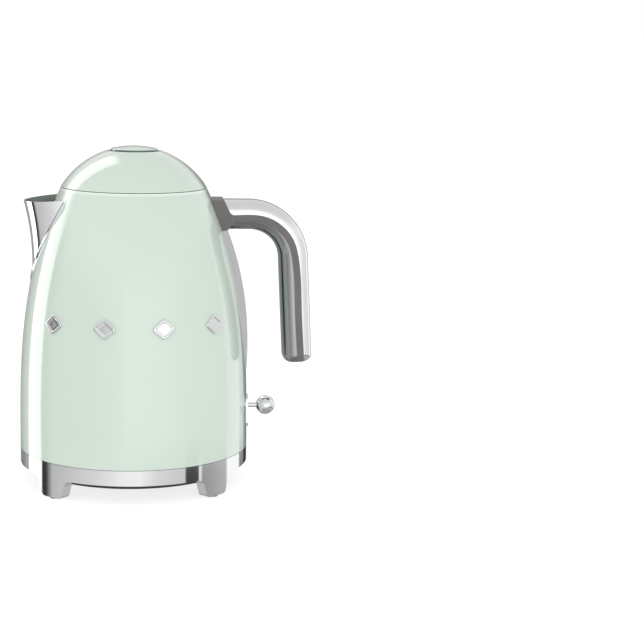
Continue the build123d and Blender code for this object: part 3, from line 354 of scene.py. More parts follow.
@dataclass(frozen=True)
class CapWithShadedSkirt(Enamel):
    """Enamel cap whose skirt is darkened as painted shade, for the shade in the groove round the
    button.
    """

    shade_top: float = 245.4 * MM
    shade_fade: float = 0.3 * MM
    # near-black colour of the painted shade on the skirt
    skirt_shade: Colour = (0.085, 0.10, 0.092)

    def detail(self, graph: Graph) -> dict[str, Any]:
        """The enamel's detail, and painted shade on the skirt below a given height.

        Args:
            graph: Node tree that is being filled.

        Returns:
            Values and links by socket name.
        """
        values = super().detail(graph)
        z = graph.node("ShaderNodeSeparateXYZ", None, {0: graph.position()}, "Z")
        unshaded = graph.node("ShaderNodeMapRange", {"clamp": True},
                             {"Value": z, "From Min": self.shade_top,
                              "From Max": self.shade_top + self.shade_fade,
                              "To Min": 0.0, "To Max": 1.0}, 0)
        # below the given height the colour turns near-black: painted shade in the groove round the
        # button
        values["Base Color"] = graph.blend(unshaded, self.skirt_shade, values["Base Color"])
        return values


@dataclass(frozen=True)
class PolishedMetal(Finish):
    """Mirror-polished metal with hairlines and a faint film of handling."""

    smear: float = 0.05

    def settings(self) -> dict[str, Any]:
        """Bare metal."""
        return {"Metallic": 1.0}

    def detail(self, graph: Graph) -> dict[str, Any]:
        """Hairlines across the piece, patches of smear and a slow wave of the sheet.

        Args:
            graph: Node tree that is being filled.

        Returns:
            Values and links by socket name.
        """
        hairs = graph.noise(1.0, 4.0, graph.stretched((240.0, 240.0, 5200.0)))
        film = graph.noise(38.0, 4.0)
        rough = graph.spread(film, self.roughness, self.roughness + self.smear) + hairs * 0.02
        return {
            "Base Color": graph.blend(graph.spread(film, 0.0, 0.6), self.colour,
                                      tuple(c * 0.94 for c in self.colour)),
            "Roughness": rough,
            "Normal": graph.bump(hairs, 0.05, 0.00001),
        }


@dataclass(frozen=True)
class SpoutSteel(PolishedMetal):
    """Polished steel of a spout, left satin inside the channel, where its colour is darkened as
    painted shade.
    """

    satin: Colour = (0.30, 0.30, 0.305)
    satin_roughness: float = 0.34

    def detail(self, graph: Graph) -> dict[str, Any]:
        """The polished detail, and satin with painted shade where a wall faces the spout's middle
        plane.

        Args:
            graph: Node tree that is being filled.

        Returns:
            Values and links by socket name.
        """
        values = super().detail(graph)
        facing = graph.node("ShaderNodeSeparateXYZ", None, {
            0: graph.node("ShaderNodeTexCoord", output="Normal")}, "Y")
        side = graph.node("ShaderNodeSeparateXYZ", None, {0: graph.position()}, "Y")
        inside = graph.node("ShaderNodeMath", {"operation": "LESS_THAN"},
                            {0: facing * side, 1: -0.0002})
        # inside the channel the colour is darkened as painted shade; the higher roughness there is
        # real satin
        values["Base Color"] = graph.blend(inside, values["Base Color"], self.satin)
        values["Roughness"] = values["Roughness"] + inside * (self.satin_roughness - self.roughness)
        return values


@dataclass(frozen=True)
class BrushedMetal(Finish):
    """Metal brushed along one axis.

    Attributes:
        grain: How many times closer the lines lie along each axis.
    """

    grain: Point = (9000.0, 9000.0, 160.0)

    def settings(self) -> dict[str, Any]:
        """Bare metal."""
        return {"Metallic": 1.0}

    def detail(self, graph: Graph) -> dict[str, Any]:
        """Brushing lines in roughness, colour and height.

        Args:
            graph: Node tree that is being filled.

        Returns:
            Values and links by socket name.
        """
        lines = graph.noise(1.0, 5.0, graph.stretched(self.grain))
        stain = graph.noise(55.0, 3.0)
        return {
            "Base Color": graph.blend(graph.spread(stain, 0.0, 1.0), self.colour,
                                      tuple(c * 0.86 for c in self.colour)),
            "Roughness": graph.spread(lines, self.roughness - 0.08, self.roughness + 0.12),
            "Normal": graph.bump(lines, 0.25, 0.00002),
        }


@dataclass(frozen=True)
class TurnedMetal(Finish):
    """Metal with the fine rings that turning or pressing leaves about the upright axis."""

    pitch: float = 0.0006
    tint: Colour = (0.3, 0.3, 0.3)

    def settings(self) -> dict[str, Any]:
        """Bare metal."""
        return {"Metallic": 1.0}

    def detail(self, graph: Graph) -> dict[str, Any]:
        """Rings, and a tint that comes and goes as oxide or heat colour does.

        Args:
            graph: Node tree that is being filled.

        Returns:
            Values and links by socket name.
        """
        rings = graph.node("ShaderNodeTexWave",
                           {"wave_type": "RINGS", "rings_direction": "Z"},
                           {"Vector": graph.position(), "Scale": 0.05 / self.pitch,
                            "Distortion": 0.6, "Detail": 2.0}, "Fac")
        tinted = graph.spread(graph.noise(70.0, 4.0), 0.0, 1.0)
        return {
            "Base Color": graph.blend(tinted, self.colour, self.tint),
            "Roughness": rings * 0.08 + graph.spread(graph.noise(160.0), self.roughness - 0.05,
                                                     self.roughness + 0.08),
            "Normal": graph.bump(rings, 0.12, 0.00003),
        }


@dataclass(frozen=True)
class MouldedPlastic(Finish):
    """Injection-moulded plastic with a spark-eroded grain."""

    grain: float = 1900.0
    depth: float = 0.00004

    def settings(self) -> dict[str, Any]:
        """Ordinary plastic gloss."""
        return {"IOR": 1.46}

    def detail(self, graph: Graph) -> dict[str, Any]:
        """Grain in the height, soft flow clouds in colour and gloss.

        Args:
            graph: Node tree that is being filled.

        Returns:
            Values and links by socket name.
        """
        grain = graph.noise(self.grain, 2.0)
        flow = graph.noise(36.0, 3.0)
        return {
            "Base Color": graph.blend(graph.spread(flow, 0.0, 1.0), self.colour,
                                      tuple(c * 0.88 for c in self.colour)),
            "Roughness": graph.spread(flow, self.roughness - 0.05, self.roughness + 0.06)
            + graph.spread(grain, 0.0, 0.05),
            "Normal": graph.bump(grain, 0.3, self.depth),
        }


@dataclass(frozen=True)
class Rubber(Finish):
    """Matt rubber with a pitted skin and a little dust."""

    dust: Colour = (0.09, 0.09, 0.085)

    def detail(self, graph: Graph) -> dict[str, Any]:
        """Pits from cells, dust from noise.

        Args:
            graph: Node tree that is being filled.

        Returns:
            Values and links by socket name.
        """
        pits = graph.node("ShaderNodeTexVoronoi", {"feature": "F1"},
                          {"Vector": graph.position(), "Scale": 1500.0}, "Distance")
        dust = graph.spread(graph.noise(180.0, 4.0), 0.0, 0.6)
        return {
            "Base Color": graph.blend(dust, self.colour, self.dust),
            "Roughness": graph.spread(graph.noise(300.0), self.roughness - 0.08,
                                      self.roughness + 0.08),
            "Normal": graph.bump(pits, 0.35, 0.00005),
        }


@dataclass(frozen=True)
class ClearPlastic(Finish):
    """Clear moulded window with a faint frost on its surface."""

    def settings(self) -> dict[str, Any]:
        """See-through plastic."""
        return {"Transmission Weight": 0.92, "IOR": 1.49}

    def detail(self, graph: Graph) -> dict[str, Any]:
        """Faint frost and ripple.

        Args:
            graph: Node tree that is being filled.

        Returns:
            Values and links by socket name.
        """
        frost = graph.noise(400.0, 3.0)
        return {
            "Roughness": graph.spread(frost, self.roughness, self.roughness + 0.08),
            "Normal": graph.bump(graph.noise(60.0, 1.0), 0.08, 0.00004),
        }


class Finishes(Enum):
    """The finishes that the kettle's pieces are made in."""

    SHELL = LinedEnamel("lined_enamel", "mint_paint", (0.590, 0.684, 0.604), 0.10,
                        (0.570, 0.667, 0.584))
    MINT = Enamel("mint_enamel", "mint_paint", (0.590, 0.684, 0.604), 0.10,
                  (0.570, 0.667, 0.584))
    CAP = CapWithShadedSkirt("cap_enamel", "mint_paint", (0.530, 0.640, 0.560), 0.12,
                     (0.515, 0.625, 0.545))
    CHROME = PolishedMetal("bright_chrome", "polished_steel", (0.86, 0.865, 0.875), 0.025)
    SPOUT = SpoutSteel("spout_steel", "polished_steel", (0.86, 0.865, 0.875), 0.025)
    PLATED = PolishedMetal("plated_moulding", "bright_plating", (0.85, 0.855, 0.865), 0.03, 0.04)
    # the same plating, rougher, with its colour darkened as painted shade for the handle's inner
    # shell and the window frame
    SATIN_SHADED = PolishedMetal("satin_shaded_plating", "bright_plating", (0.37, 0.37, 0.375), 0.12, 0.05)
    GREY = MouldedPlastic("warm_grey_moulding", "grey_plastic", (0.150, 0.143, 0.139), 0.42)
    DARK = MouldedPlastic("charcoal_moulding", "dark_plastic", (0.032, 0.033, 0.036), 0.45, 1500.0)
    BRUSHED = BrushedMetal("brushed_steel_sheet", "brushed_steel", (0.60, 0.60, 0.59), 0.3)
    SCREW = TurnedMetal("zinc_plated_screw", "screw_steel", (0.58, 0.59, 0.61), 0.3, 0.0004,
                        (0.50, 0.49, 0.44))
    BRASS = TurnedMetal("contact_brass_turned", "contact_brass", (0.80, 0.60, 0.28), 0.26, 0.0005,
                        (0.55, 0.38, 0.18))
    RUBBER = Rubber("black_rubber_skin", "black_rubber", (0.02, 0.02, 0.021), 0.72)
    LENS = ClearPlastic("window_clear", "clear_lens", (0.93, 0.96, 0.97), 0.03)
    ELEMENT = TurnedMetal("element_sheath", "element_steel", (0.42, 0.40, 0.38), 0.38, 0.0009,
                          (0.24, 0.20, 0.17))
    ALUMINIUM = TurnedMetal("pressed_aluminium", "aluminium", (0.72, 0.73, 0.74), 0.36, 0.0012,
                            (0.60, 0.61, 0.62))

    def dress(self, piece: bpy.types.Object) -> None:
        """Make this finish the only material of a piece."""
        piece.data.materials.clear()
        piece.data.materials.append(self.value.material())


# ------------------------------------------------------------------ mesh building blocks
def mesh_piece(name: str, shape: bmesh.types.BMesh, smooth_below: float = 35.0) -> bpy.types.Object:
    """Turn a bmesh into an object whose edges below an angle are shaded smooth.

    Args:
        name: Name of the piece.
        shape: The bmesh, which is freed.
        smooth_below: Angle in degrees above which an edge stays sharp.

    Returns:
        The new object, linked to the scene.
    """
    bmesh.ops.recalc_face_normals(shape, faces=shape.faces)
    limit = math.radians(smooth_below)
    for edge in shape.edges:
        edge.smooth = len(edge.link_faces) != 2 or edge.calc_face_angle(0.0) < limit
    for face in shape.faces:
        face.smooth = True
    data = bpy.data.meshes.new(name)
    shape.to_mesh(data)
    shape.free()
    piece = bpy.data.objects.new(name, data)
    bpy.context.scene.collection.objects.link(piece)
    return piece


def bridge(shape: bmesh.types.BMesh, rings: Sequence[Sequence[bmesh.types.BMVert]]) -> None:
    """Join each closed ring of points to the next; a ring of one point is a tip.

    Args:
        shape: The bmesh that is added to.
        rings: The rings, in order.
    """
    for first, second in zip(rings, rings[1:]):
        count = max(len(first), len(second))
        for i in range(count):
            j = (i + 1) % count
            corners = [first[i % len(first)], first[j % len(first)],
                       second[j % len(second)], second[i % len(second)]]
            shape.faces.new(list(dict.fromkeys(corners)))


def lathe(shape: bmesh.types.BMesh, outline: Sequence[tuple[float, float]], place: Matrix,
          steps: int = 48) -> None:
    """Add a solid of revolution to a bmesh.

    Args:
        shape: The bmesh that is added to.
        outline: (radius, height) points from the axis round to the axis.
        place: Where the solid's own upright axis goes.
        steps: Faces round the axis.
    """
    rings: list[list[bmesh.types.BMVert]] = []
    for radius, height in outline:
        if radius < 1e-9:
            rings.append([shape.verts.new(place @ Vector((0, 0, height)))])
            continue
        turn = [2 * math.pi * i / steps for i in range(steps)]
        rings.append([shape.verts.new(place @ Vector((radius * math.cos(a), radius * math.sin(a),
                                                      height))) for a in turn])
    bridge(shape, rings)


def helix(name: str, radius: float, wire: float, low: float, high: float, turns: float,
          place: Matrix) -> bpy.types.Object:
    """Coil spring as a closed wire mesh about an axis, with closed end turns.

    Args:
        name: Name of the piece.
        radius: Middle radius of the coil.
        wire: Radius of the wire.
        low: Start along the axis.
        high: End along the axis.
        turns: Number of turns.
        place: Where the coil's own axis goes.

    Returns:
        The spring.
    """
    count = int(turns * 28)
    sides = 8
    shape = bmesh.new()
    rings = []
    for i in range(count + 1):
        share = i / count
        ease = share + math.sin(2 * math.pi * share) * -0.09
        angle = 2 * math.pi * turns * share
        centre = low + wire + (high - low - 2 * wire) * ease
        out = Vector((math.cos(angle), math.sin(angle), 0))
        ring = []
        for k in range(sides):
            around = 2 * math.pi * k / sides
            point = out * (radius + wire * math.cos(around)) \
                + Vector((0, 0, centre + wire * math.sin(around)))
            ring.append(shape.verts.new(place @ point))
        rings.append(ring)
    bridge(shape, rings)
    shape.faces.new(rings[0][::-1])
    shape.faces.new(rings[-1])
    return mesh_piece(name, shape, 60.0)


@dataclass
class Assembly:
    """Shared ground of the sub-assemblies.

    Attributes:
        body: The moving body that new pieces ride on.
        made: Names of the pieces built so far.
    """

    body: str
    made: list[str] = field(default_factory=list)

    def dress(self, finish: Finishes, *nodes: str) -> None:
        """Give frame nodes a finish.

        Args:
            finish: The finish to wear.
            nodes: Names of the nodes.
        """
        for name in nodes:
            finish.dress(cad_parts[name])
            LOG.info("%s: %s in %s", self.body, name, finish.value.name)

    def add(self, piece: bpy.types.Object, finish: Finishes, *nodes: str,
            body: str | None = None) -> bpy.types.Object:
        """Finish a new piece, let it ride and let it stand for frame nodes.

        Args:
            piece: The new piece, already in place.
            finish: Its finish.
            nodes: Frame nodes that it replaces.
            body: Body that it rides on, if not the assembly's own.

        Returns:
            The piece.
        """
        finish.dress(piece)
        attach(piece, body or self.body)
        if nodes:
            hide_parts(*nodes)
        self.made.append(piece.name)
        LOG.info("%s: built %s in %s", body or self.body, piece.name, finish.value.name)
        return piece


# ------------------------------------------------------------------ power base
@dataclass
class PowerBase(Assembly):
    """Round swivel base with four feet, its connector, contacts, cover and cord inlet."""

    body: str = "power_base"
    screw_head_r: float = 3.0 * MM
    screw_head_high: float = 1.5 * MM

    def build(self) -> None:
        """Dress the base and cut its screws."""
        self.dress(Finishes.PLATED, "base_ring")
        self.dress(Finishes.DARK, "base_platform", "base_bottom_cover", "base_spigot", "cord_gland")
        self.dress(Finishes.RUBBER, "base_foot_pads", "socket_seal_ring")
        self.dress(Finishes.BRASS, "base_ring_contact", "base_centre_contact")
        self.add(screw_set("base_screw_set", "base_cover_screws", self.screw_head_r,
                           self.screw_head_high), Finishes.SCREW, "base_cover_screws")


def screw_set(name: str, node: str, head_r: float, head_high: float) -> bpy.types.Object:
    """Three pan-head screws with cross recesses, heads down, where a frame node has them.

    Args:
        name: Name of the piece.
        node: Frame node of the three plain screws.
        head_r: Radius of a head.
        head_high: Height of a head.

    Returns:
        The screws as one piece.
    """
    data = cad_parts[node].data
    points = [v.co for v in data.vertices]
    low = min(p.z for p in points)
    high = max(p.z for p in points)
    heads: list[Vector] = []
    for point in points:
        if point.z < low + 1e-5 and all((Vector(point[:2]) - h).length > 4 * head_r for h in heads):
            near = [Vector(q[:2]) for q in points
                    if (Vector(q[:2]) - Vector(point[:2])).length < 3 * head_r]
            heads.append(sum(near, Vector((0, 0))) / len(near))
    shape = bmesh.new()
    shank = head_r * 0.5
    arm, width = head_r * 0.62, head_r * 0.17
    for centre in heads:
        place = Matrix.Translation((centre.x, centre.y, low))
        outline = [(arm * 1.02, 0.00006)]
        outline += [(head_r * math.sin(a) * 0.98, head_high * (1 - math.cos(a)) * 0.9)
                    for a in (math.radians(d) for d in (48, 60, 72, 84, 90))]
        outline += [(head_r, head_high), (shank, head_high), (shank, high - low), (0, high - low)]
        lathe(shape, outline, place, 40)
        cross_face(shape, place, arm, width, 0.00006, head_high * 0.75, 40)
    return mesh_piece(name, shape, 40.0)


def cross_face(shape: bmesh.types.BMesh, place: Matrix, arm: float, width: float,
               height: float, depth: float, steps: int) -> None:
    """Close a screw head with a face that has a cross-shaped recess.

    Args:
        shape: The bmesh that is added to.
        place: Where the head's axis goes.
        arm: Half length of the cross.
        width: Half width of an arm.
        height: Height of the face.
        depth: Depth of the recess.
        steps: Faces round the head.
    """
    corners = [(arm * 0.92, -width), (arm * 0.92, width), (width, width)]
    mouth: list[tuple[float, float]] = []
    for quarter in range(4):
        turn = Matrix.Rotation(quarter * math.pi / 2, 2)
        mouth += [tuple(turn @ Vector(c)) for c in corners]
    rim = [(arm * 1.02 * math.cos(2 * math.pi * i / steps),
            arm * 1.02 * math.sin(2 * math.pi * i / steps)) for i in range(steps)]
    top = [shape.verts.new(place @ Vector((x, y, height))) for x, y in mouth]
    out = [shape.verts.new(place @ Vector((x, y, height))) for x, y in rim]
    low = [shape.verts.new(place @ Vector((x * 0.6, y * 0.6, depth))) for x, y in mouth]
    count = len(mouth)
    loops = [shape.edges.new((a, b)) for ring in (top, out)
             for a, b in zip(ring, ring[1:] + ring[:1])]
    bmesh.ops.triangle_fill(shape, use_beauty=True, edges=loops)
    for i in range(count):
        j = (i + 1) % count
        shape.faces.new((top[i], top[j], low[j], low[i]))
    shape.faces.new(low)
    bmesh.ops.remove_doubles(shape, verts=shape.verts, dist=1e-7)


# ------------------------------------------------------------------ kettle body
@dataclass
class BodySkin:
    """The body's outside: radius at a height, read off the frame's own mesh."""

    samples: list[tuple[float, float]] = field(default_factory=list)

    def __post_init__(self) -> None:
        """Collect the outline from the body's mesh."""
        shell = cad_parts["body_shell"].data
        best: dict[int, tuple[float, float]] = {}
        for vertex in shell.vertices:
            radius = math.hypot(vertex.co.x, vertex.co.y)
            key = round(vertex.co.z / (2 * MM))
            if radius > best.get(key, (0.0, 0.0))[1]:
                best[key] = (vertex.co.z, radius)
        self.samples = sorted(best.values())

    def radius(self, z: float) -> float:
        """Outside radius at a height.

        Args:
            z: Height.

        Returns:
            The radius.
        """
        below = max((s for s in self.samples if s[0] <= z), default=self.samples[0])
        above = min((s for s in self.samples if s[0] > z), default=self.samples[-1])
        if above[0] - below[0] < 1e-9:
            return below[1]
        share = (z - below[0]) / (above[0] - below[0])
        return below[1] + (above[1] - below[1]) * share


@dataclass
class Kettle(Assembly):
    """Body shell, spout, filter, front ornaments and everything under the tank floor."""

    body: str = "kettle"
    ornament_angles: tuple[float, ...] = (-45.0, -15.0, 15.0, 45.0)
    ornament_wide: float = 17.0 * MM
    ornament_high: float = 15.0 * MM
    ornament_proud: float = 1.45 * MM
    ornament_corner: float = 2.2 * MM
    wire_r: float = 0.13 * MM
    wire_pitch: float = 0.9 * MM
    screw_head_r: float = 3.0 * MM
    screw_head_high: float = 1.5 * MM

    def build(self) -> None:
        """Dress the body and build its fine pieces."""
        self.dress(Finishes.SHELL, "body_shell")
        self.dress(Finishes.SPOUT, "spout")
        self.dress(Finishes.BRUSHED, "tank_floor", "bimetal_discs")
        self.dress(Finishes.GREY, "control_housing")
        self.dress(Finishes.DARK, "bottom_cover", "connector_carrier", "filter_frame", "steam_tube",
                   "rim_collar")
        self.dress(Finishes.BRASS, "socket_ring_pin", "socket_centre_pin")
        self.dress(Finishes.ALUMINIUM, "heat_diffuser")
        self.dress(Finishes.ELEMENT, "heating_element")
        self.add(screw_set("bottom_screw_set", "bottom_cover_screws", self.screw_head_r,
                           self.screw_head_high), Finishes.SCREW, "bottom_cover_screws")
        self.add(self.ornaments(), Finishes.PLATED, "front_ornaments")
        self.add(self.gauze(), Finishes.BRUSHED, "filter_mesh")

    def ornaments(self) -> bpy.types.Object:
        """Four diamonds with a raised rim and a sunk middle that follow the body's curve.

        Returns:
            The mesh object.
        """
        skin = BodySkin()
        low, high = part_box("front_ornaments")
        middle = (low.z + high.z) / 2
        outline = self.diamond()
        levels = ((1.0, -0.5), (1.0, 0.72), (0.965, 0.93), (0.93, 1.0), (0.80, 1.0), (0.765, 0.92),
                  (0.74, 0.66), (0.70, 0.58), (0.35, 0.60), (0.0, 0.62))
        shape = bmesh.new()
        for angle in self.ornament_angles:
            turn = math.radians(angle)
            rings = []
            for size, lift in levels:
                ring = []
                for side, rise in (outline if size else [(0.0, 0.0)]):
                    z = middle + rise * size
                    reach = skin.radius(z)
                    across = side * size / reach
                    out = reach + self.ornament_proud * lift
                    ring.append(shape.verts.new((out * math.sin(turn + across),
                                                 -out * math.cos(turn + across), z)))
                rings.append(ring)
            shape.faces.new(rings[0])
            bridge(shape, rings)
        return mesh_piece("front_diamonds", shape, 60.0)

    def diamond(self) -> list[tuple[float, float]]:
        """Outline of a diamond with rounded corners.

        Returns:
            (side, rise) points, anticlockwise.
        """
        half = Vector((self.ornament_wide / 2, self.ornament_high / 2))
        tips = [Vector((half.x, 0)), Vector((0, half.y)),
                Vector((-half.x, 0)), Vector((0, -half.y))]
        points: list[tuple[float, float]] = []
        for i, tip in enumerate(tips):
            before, after = tips[i - 1], tips[(i + 1) % 4]
            start = tip + (before - tip).normalized() * self.ornament_corner
            end = tip + (after - tip).normalized() * self.ornament_corner
            for step in range(6):
                t = step / 5
                place = start * (1 - t)**2 + tip * 2 * t * (1 - t) + end * t**2
                points.append((place.x, place.y))
            for t in (0.33, 0.67):
                reach = end.lerp(after + (tip - after).normalized() * self.ornament_corner, t)
                points.append((reach.x, reach.y))
        return points

    def gauze(self) -> bpy.types.Object:
        """Woven wire gauze in the filter's frame.

        Returns:
            The mesh object.
        """
        low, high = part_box("filter_mesh")
        top = Vector((high.x, 0, high.z))
        foot = Vector((low.x, 0, low.z))
        rise = top - foot
        normal = rise.cross(Vector((0, 1, 0))).normalized()
        centre = (top + foot) / 2
        half_y = high.y
        half_up = rise.length / 2 - 0.3 * MM
        up = rise.normalized()
        shape = bmesh.new()
        rows = int(2 * half_up / self.wire_pitch)
        columns = int(2 * half_y / self.wire_pitch)
        for i in range(rows):
            at = centre + up * (-half_up + 2 * half_up * (i + 0.5) / rows)
            self.wire(shape, at, Vector((0, 1, 0)), half_y, normal, columns, i % 2)
        for i in range(columns):
            at = centre + Vector((0, -half_y + 2 * half_y * (i + 0.5) / columns, 0))
            self.wire(shape, at, up, half_up, normal, rows, (i + 1) % 2)
        return mesh_piece("filter_gauze", shape, 80.0)

    def wire(self, shape: bmesh.types.BMesh, at: Vector, along: Vector, half: float,
             normal: Vector, waves: int, phase: int) -> None:
        """Add one crimped wire to a bmesh.

        Args:
            shape: The bmesh that is added to.
            at: Middle of the wire.
            along: Its direction.
            half: Half of its length.
            normal: Direction of the crimp.
            waves: How many wires it crosses.
            phase: 0 or 1, whether it starts over or under.
        """
        side = along.cross(normal)
        rings = []
        for i in range(waves + 1):
            t = -half + 2 * half * i / waves
            lift = self.wire_r * (1 if (i + phase) % 2 else -1) * 0.9
            centre = at + along * t + normal * lift
            ring = []
            for k in range(4):
                a = math.pi / 4 + math.pi / 2 * k
                ring.append(shape.verts.new(centre + side * self.wire_r * math.cos(a)
                                            + normal * self.wire_r * math.sin(a)))
            rings.append(ring)
        bridge(shape, rings)
        shape.faces.new(rings[0][::-1])
        shape.faces.new(rings[-1])


# ------------------------------------------------------------------ handle and window
@dataclass
class Handle(Assembly):
    """Grey core and bracket between two plated shells, the inner one darkened as painted shade."""

    body: str = "kettle"

    def build(self) -> None:
        """Dress the handle."""
        self.dress(Finishes.PLATED, "handle_outer_shell")
        self.dress(Finishes.SATIN_SHADED, "handle_inner_shell")
        self.dress(Finishes.GREY, "handle_core")
        self.dress(Finishes.BRUSHED, "handle_backplate")
        self.dress(Finishes.SCREW, "handle_screws")


@dataclass
class WaterWindow(Assembly):
    """Plated frame darkened as painted shade, clear lens and gasket of the level window."""

    body: str = "kettle"

    def build(self) -> None:
        """Dress the window."""
        self.dress(Finishes.SATIN_SHADED, "window_frame")
        self.dress(Finishes.LENS, "window_lens")
        self.dress(Finishes.RUBBER, "window_gasket")


@dataclass
class SwitchLever(Assembly):
    """Ball lever, its plate on the body, and its pivot."""

    body: str = "lever"

    def build(self) -> None:
        """Dress the lever."""
        self.dress(Finishes.CHROME, "lever_ball", "lever_stem", "lever_plate")
        self.dress(Finishes.GREY, "lever_hub", "lever_bracket")
        self.dress(Finishes.BRUSHED, "lever_pin")


# ------------------------------------------------------------------ lid
@dataclass
class Lid(Assembly):
    """Domed lid with its inner cover, seal, chassis and hinge."""

    body: str = "lid"
    sheet: float = 0.8 * MM
    well_r: float = 18.7 * MM
    well_deep: float = 4.0 * MM
    rolled_edge: float = 0.9 * MM
    hem: float = 0.35 * MM
    hinge_wire: float = 0.32 * MM
    hinge_turns: float = 8.0

    def build(self) -> None:
        """Form the dome, dress the lid and wind the hinge spring."""
        self.add(self.dome(), Finishes.MINT, "lid_shell")
        self.dress(Finishes.DARK, "lid_inner_cover")
        self.dress(Finishes.RUBBER, "lid_seal")
        self.dress(Finishes.GREY, "lid_chassis")
        self.dress(Finishes.SCREW, "lid_screws")
        self.dress(Finishes.BRUSHED, "lid_hinge_leaf", "hinge_pin")
        low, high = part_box("hinge_spring")
        radius = (high.z - low.z) / 2 - self.hinge_wire
        place = Matrix.Translation(((low.x + high.x) / 2, 0, (low.z + high.z) / 2)) \
            @ Matrix.Rotation(-math.pi / 2, 4, "X")
        self.add(helix("hinge_coil", radius, self.hinge_wire, low.y, high.y, self.hinge_turns,
                       place), Finishes.BRUSHED, "hinge_spring", body="kettle")

    def dome(self) -> bpy.types.Object:
        """Spun dome: hemmed rim, and an edge rolled down into the button's well.

        Returns:
            The mesh object.
        """
        low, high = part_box("lid_shell")
        rim, rise = high.x, high.z - low.z
        # the frame's dome passes through the rim and through the well's top edge
        centre = (rim**2 - self.well_r**2 - rise**2) / (2 * rise)
        ball = math.hypot(rim, centre)
        middle = low.z - centre

        def arc(drop: float, start: float, end: float, count: int) -> list[tuple[float, float]]:
            """Points on the dome, drop below its outside, from one radius to another.

            Args:
                drop: Depth below the outside.
                start: First radius.
                end: Last radius.
                count: Number of steps.

            Returns:
                Radius and height of each point.
            """
            size = ball - drop
            first, last = math.asin(start / size), math.asin(end / size)
            angles = [first + (last - first) * i / count for i in range(count + 1)]
            return [(size * math.sin(a), middle + size * math.cos(a)) for a in angles]

        roll = self.rolled_edge
        hub_r = self.well_r + roll
        hub_z = middle + math.sqrt((ball - roll)**2 - hub_r**2)
        lean = math.degrees(math.asin(hub_r / (ball - roll)))
        fold = [(hub_r + roll * math.sin(math.radians(lean - (lean + 90.0) * i / 10)),
                 hub_z + roll * math.cos(math.radians(lean - (lean + 90.0) * i / 10)))
                for i in range(11)]
        floor = high.z - self.well_deep
        hem = self.hem
        outline = [(rim - self.sheet * 0.5, low.z), (rim - hem, low.z + 0.05 * MM)]
        outline += arc(0.0, rim - 0.08 * MM, fold[0][0], 44)[:-1]
        outline += fold
        outline += [(self.well_r, floor), (self.well_r + self.sheet, floor)]
        inner_rim = math.sqrt((ball - self.sheet)**2 - centre**2)
        outline += arc(self.sheet, self.well_r + self.sheet * 1.4, inner_rim, 30)
        outline.append(outline[0])
        shape = bmesh.new()
        lathe(shape, outline, Matrix.Identity(4), 144)
        bmesh.ops.remove_doubles(shape, verts=shape.verts, dist=1e-7)
        return mesh_piece("lid_dome", shape, 50.0)


@dataclass
class ButtonAndLatch(Assembly):
    """Push button, its spring, and the latch that it draws back with its own spring."""

    body: str = "lid_button"
    crown_drop: float = 1.7 * MM
    crown_edge: float = 1.3 * MM
    cap_wall: float = 1.6 * MM
    button_wire: float = 0.45 * MM
    latch_wire: float = 0.3 * MM
    button_turns: float = 6.5
    latch_turns: float = 7.5
    travel: float = 3.0 * MM

    def build(self) -> None:
        """Form the cap, dress button and latch, and wind their springs."""
        self.add(self.cap(), Finishes.CAP, "button_cap")
        self.dress(Finishes.DARK, "button_stem", "latch_bolt")
        low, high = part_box("button_spring")
        coil = helix("button_coil", high.x - self.button_wire * 1.6, self.button_wire,
                     low.z, high.z, self.button_turns, Matrix.Identity(4))
        self.add(coil, Finishes.BRUSHED, "button_spring", body="lid")
        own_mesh(coil)
        low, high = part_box("latch_spring")
        place = Matrix.Translation((0, 0, (low.z + high.z) / 2)) \
            @ Matrix.Rotation(math.pi / 2, 4, "Y")
        coil = helix("latch_coil", high.y - self.latch_wire, self.latch_wire, low.x, high.x,
                     self.latch_turns, place)
        self.add(coil, Finishes.BRUSHED, "latch_spring", body="lid")
        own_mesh(coil)

    def cap(self) -> bpy.types.Object:
        """Moulded cap: nearly flat crown, generously rounded edge and a skirt.

        Returns:
            The mesh object.
        """
        low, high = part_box("button_cap")
        outer, edge = high.x, self.crown_edge
        flat_r = outer - edge
        ball = (flat_r**2 + self.crown_drop**2) / (2 * self.crown_drop)
        inner = outer - self.cap_wall
        crown = [(flat_r * i / 12, high.z - ball + math.sqrt(ball**2 - (flat_r * i / 12)**2))
                 for i in range(13)]
        lean = math.degrees(math.asin(flat_r / ball))
        hub = (flat_r - edge * math.sin(math.radians(lean)),
               crown[-1][1] - edge * math.cos(math.radians(lean)))
        grow = (outer - hub[0]) / edge
        turn = [math.radians(lean + (90.0 - lean) * i / 12) for i in range(1, 13)]
        outline = crown + [(hub[0] + edge * grow * math.sin(a), hub[1] + edge * math.cos(a))
                           for a in turn]
        outline += [(outer, low.z + 0.25 * MM), (outer - 0.25 * MM, low.z), (inner, low.z)]
        ceiling = high.z - self.cap_wall - 2.6 * MM
        outline += [(inner, ceiling), (inner - 1.0 * MM, ceiling + 0.9 * MM),
                    (inner * 0.5, ceiling + 2.1 * MM), (0.0, ceiling + 2.6 * MM)]
        shape = bmesh.new()
        lathe(shape, outline, Matrix.Identity(4), 112)
        return mesh_piece("button_dome", shape, 45.0)


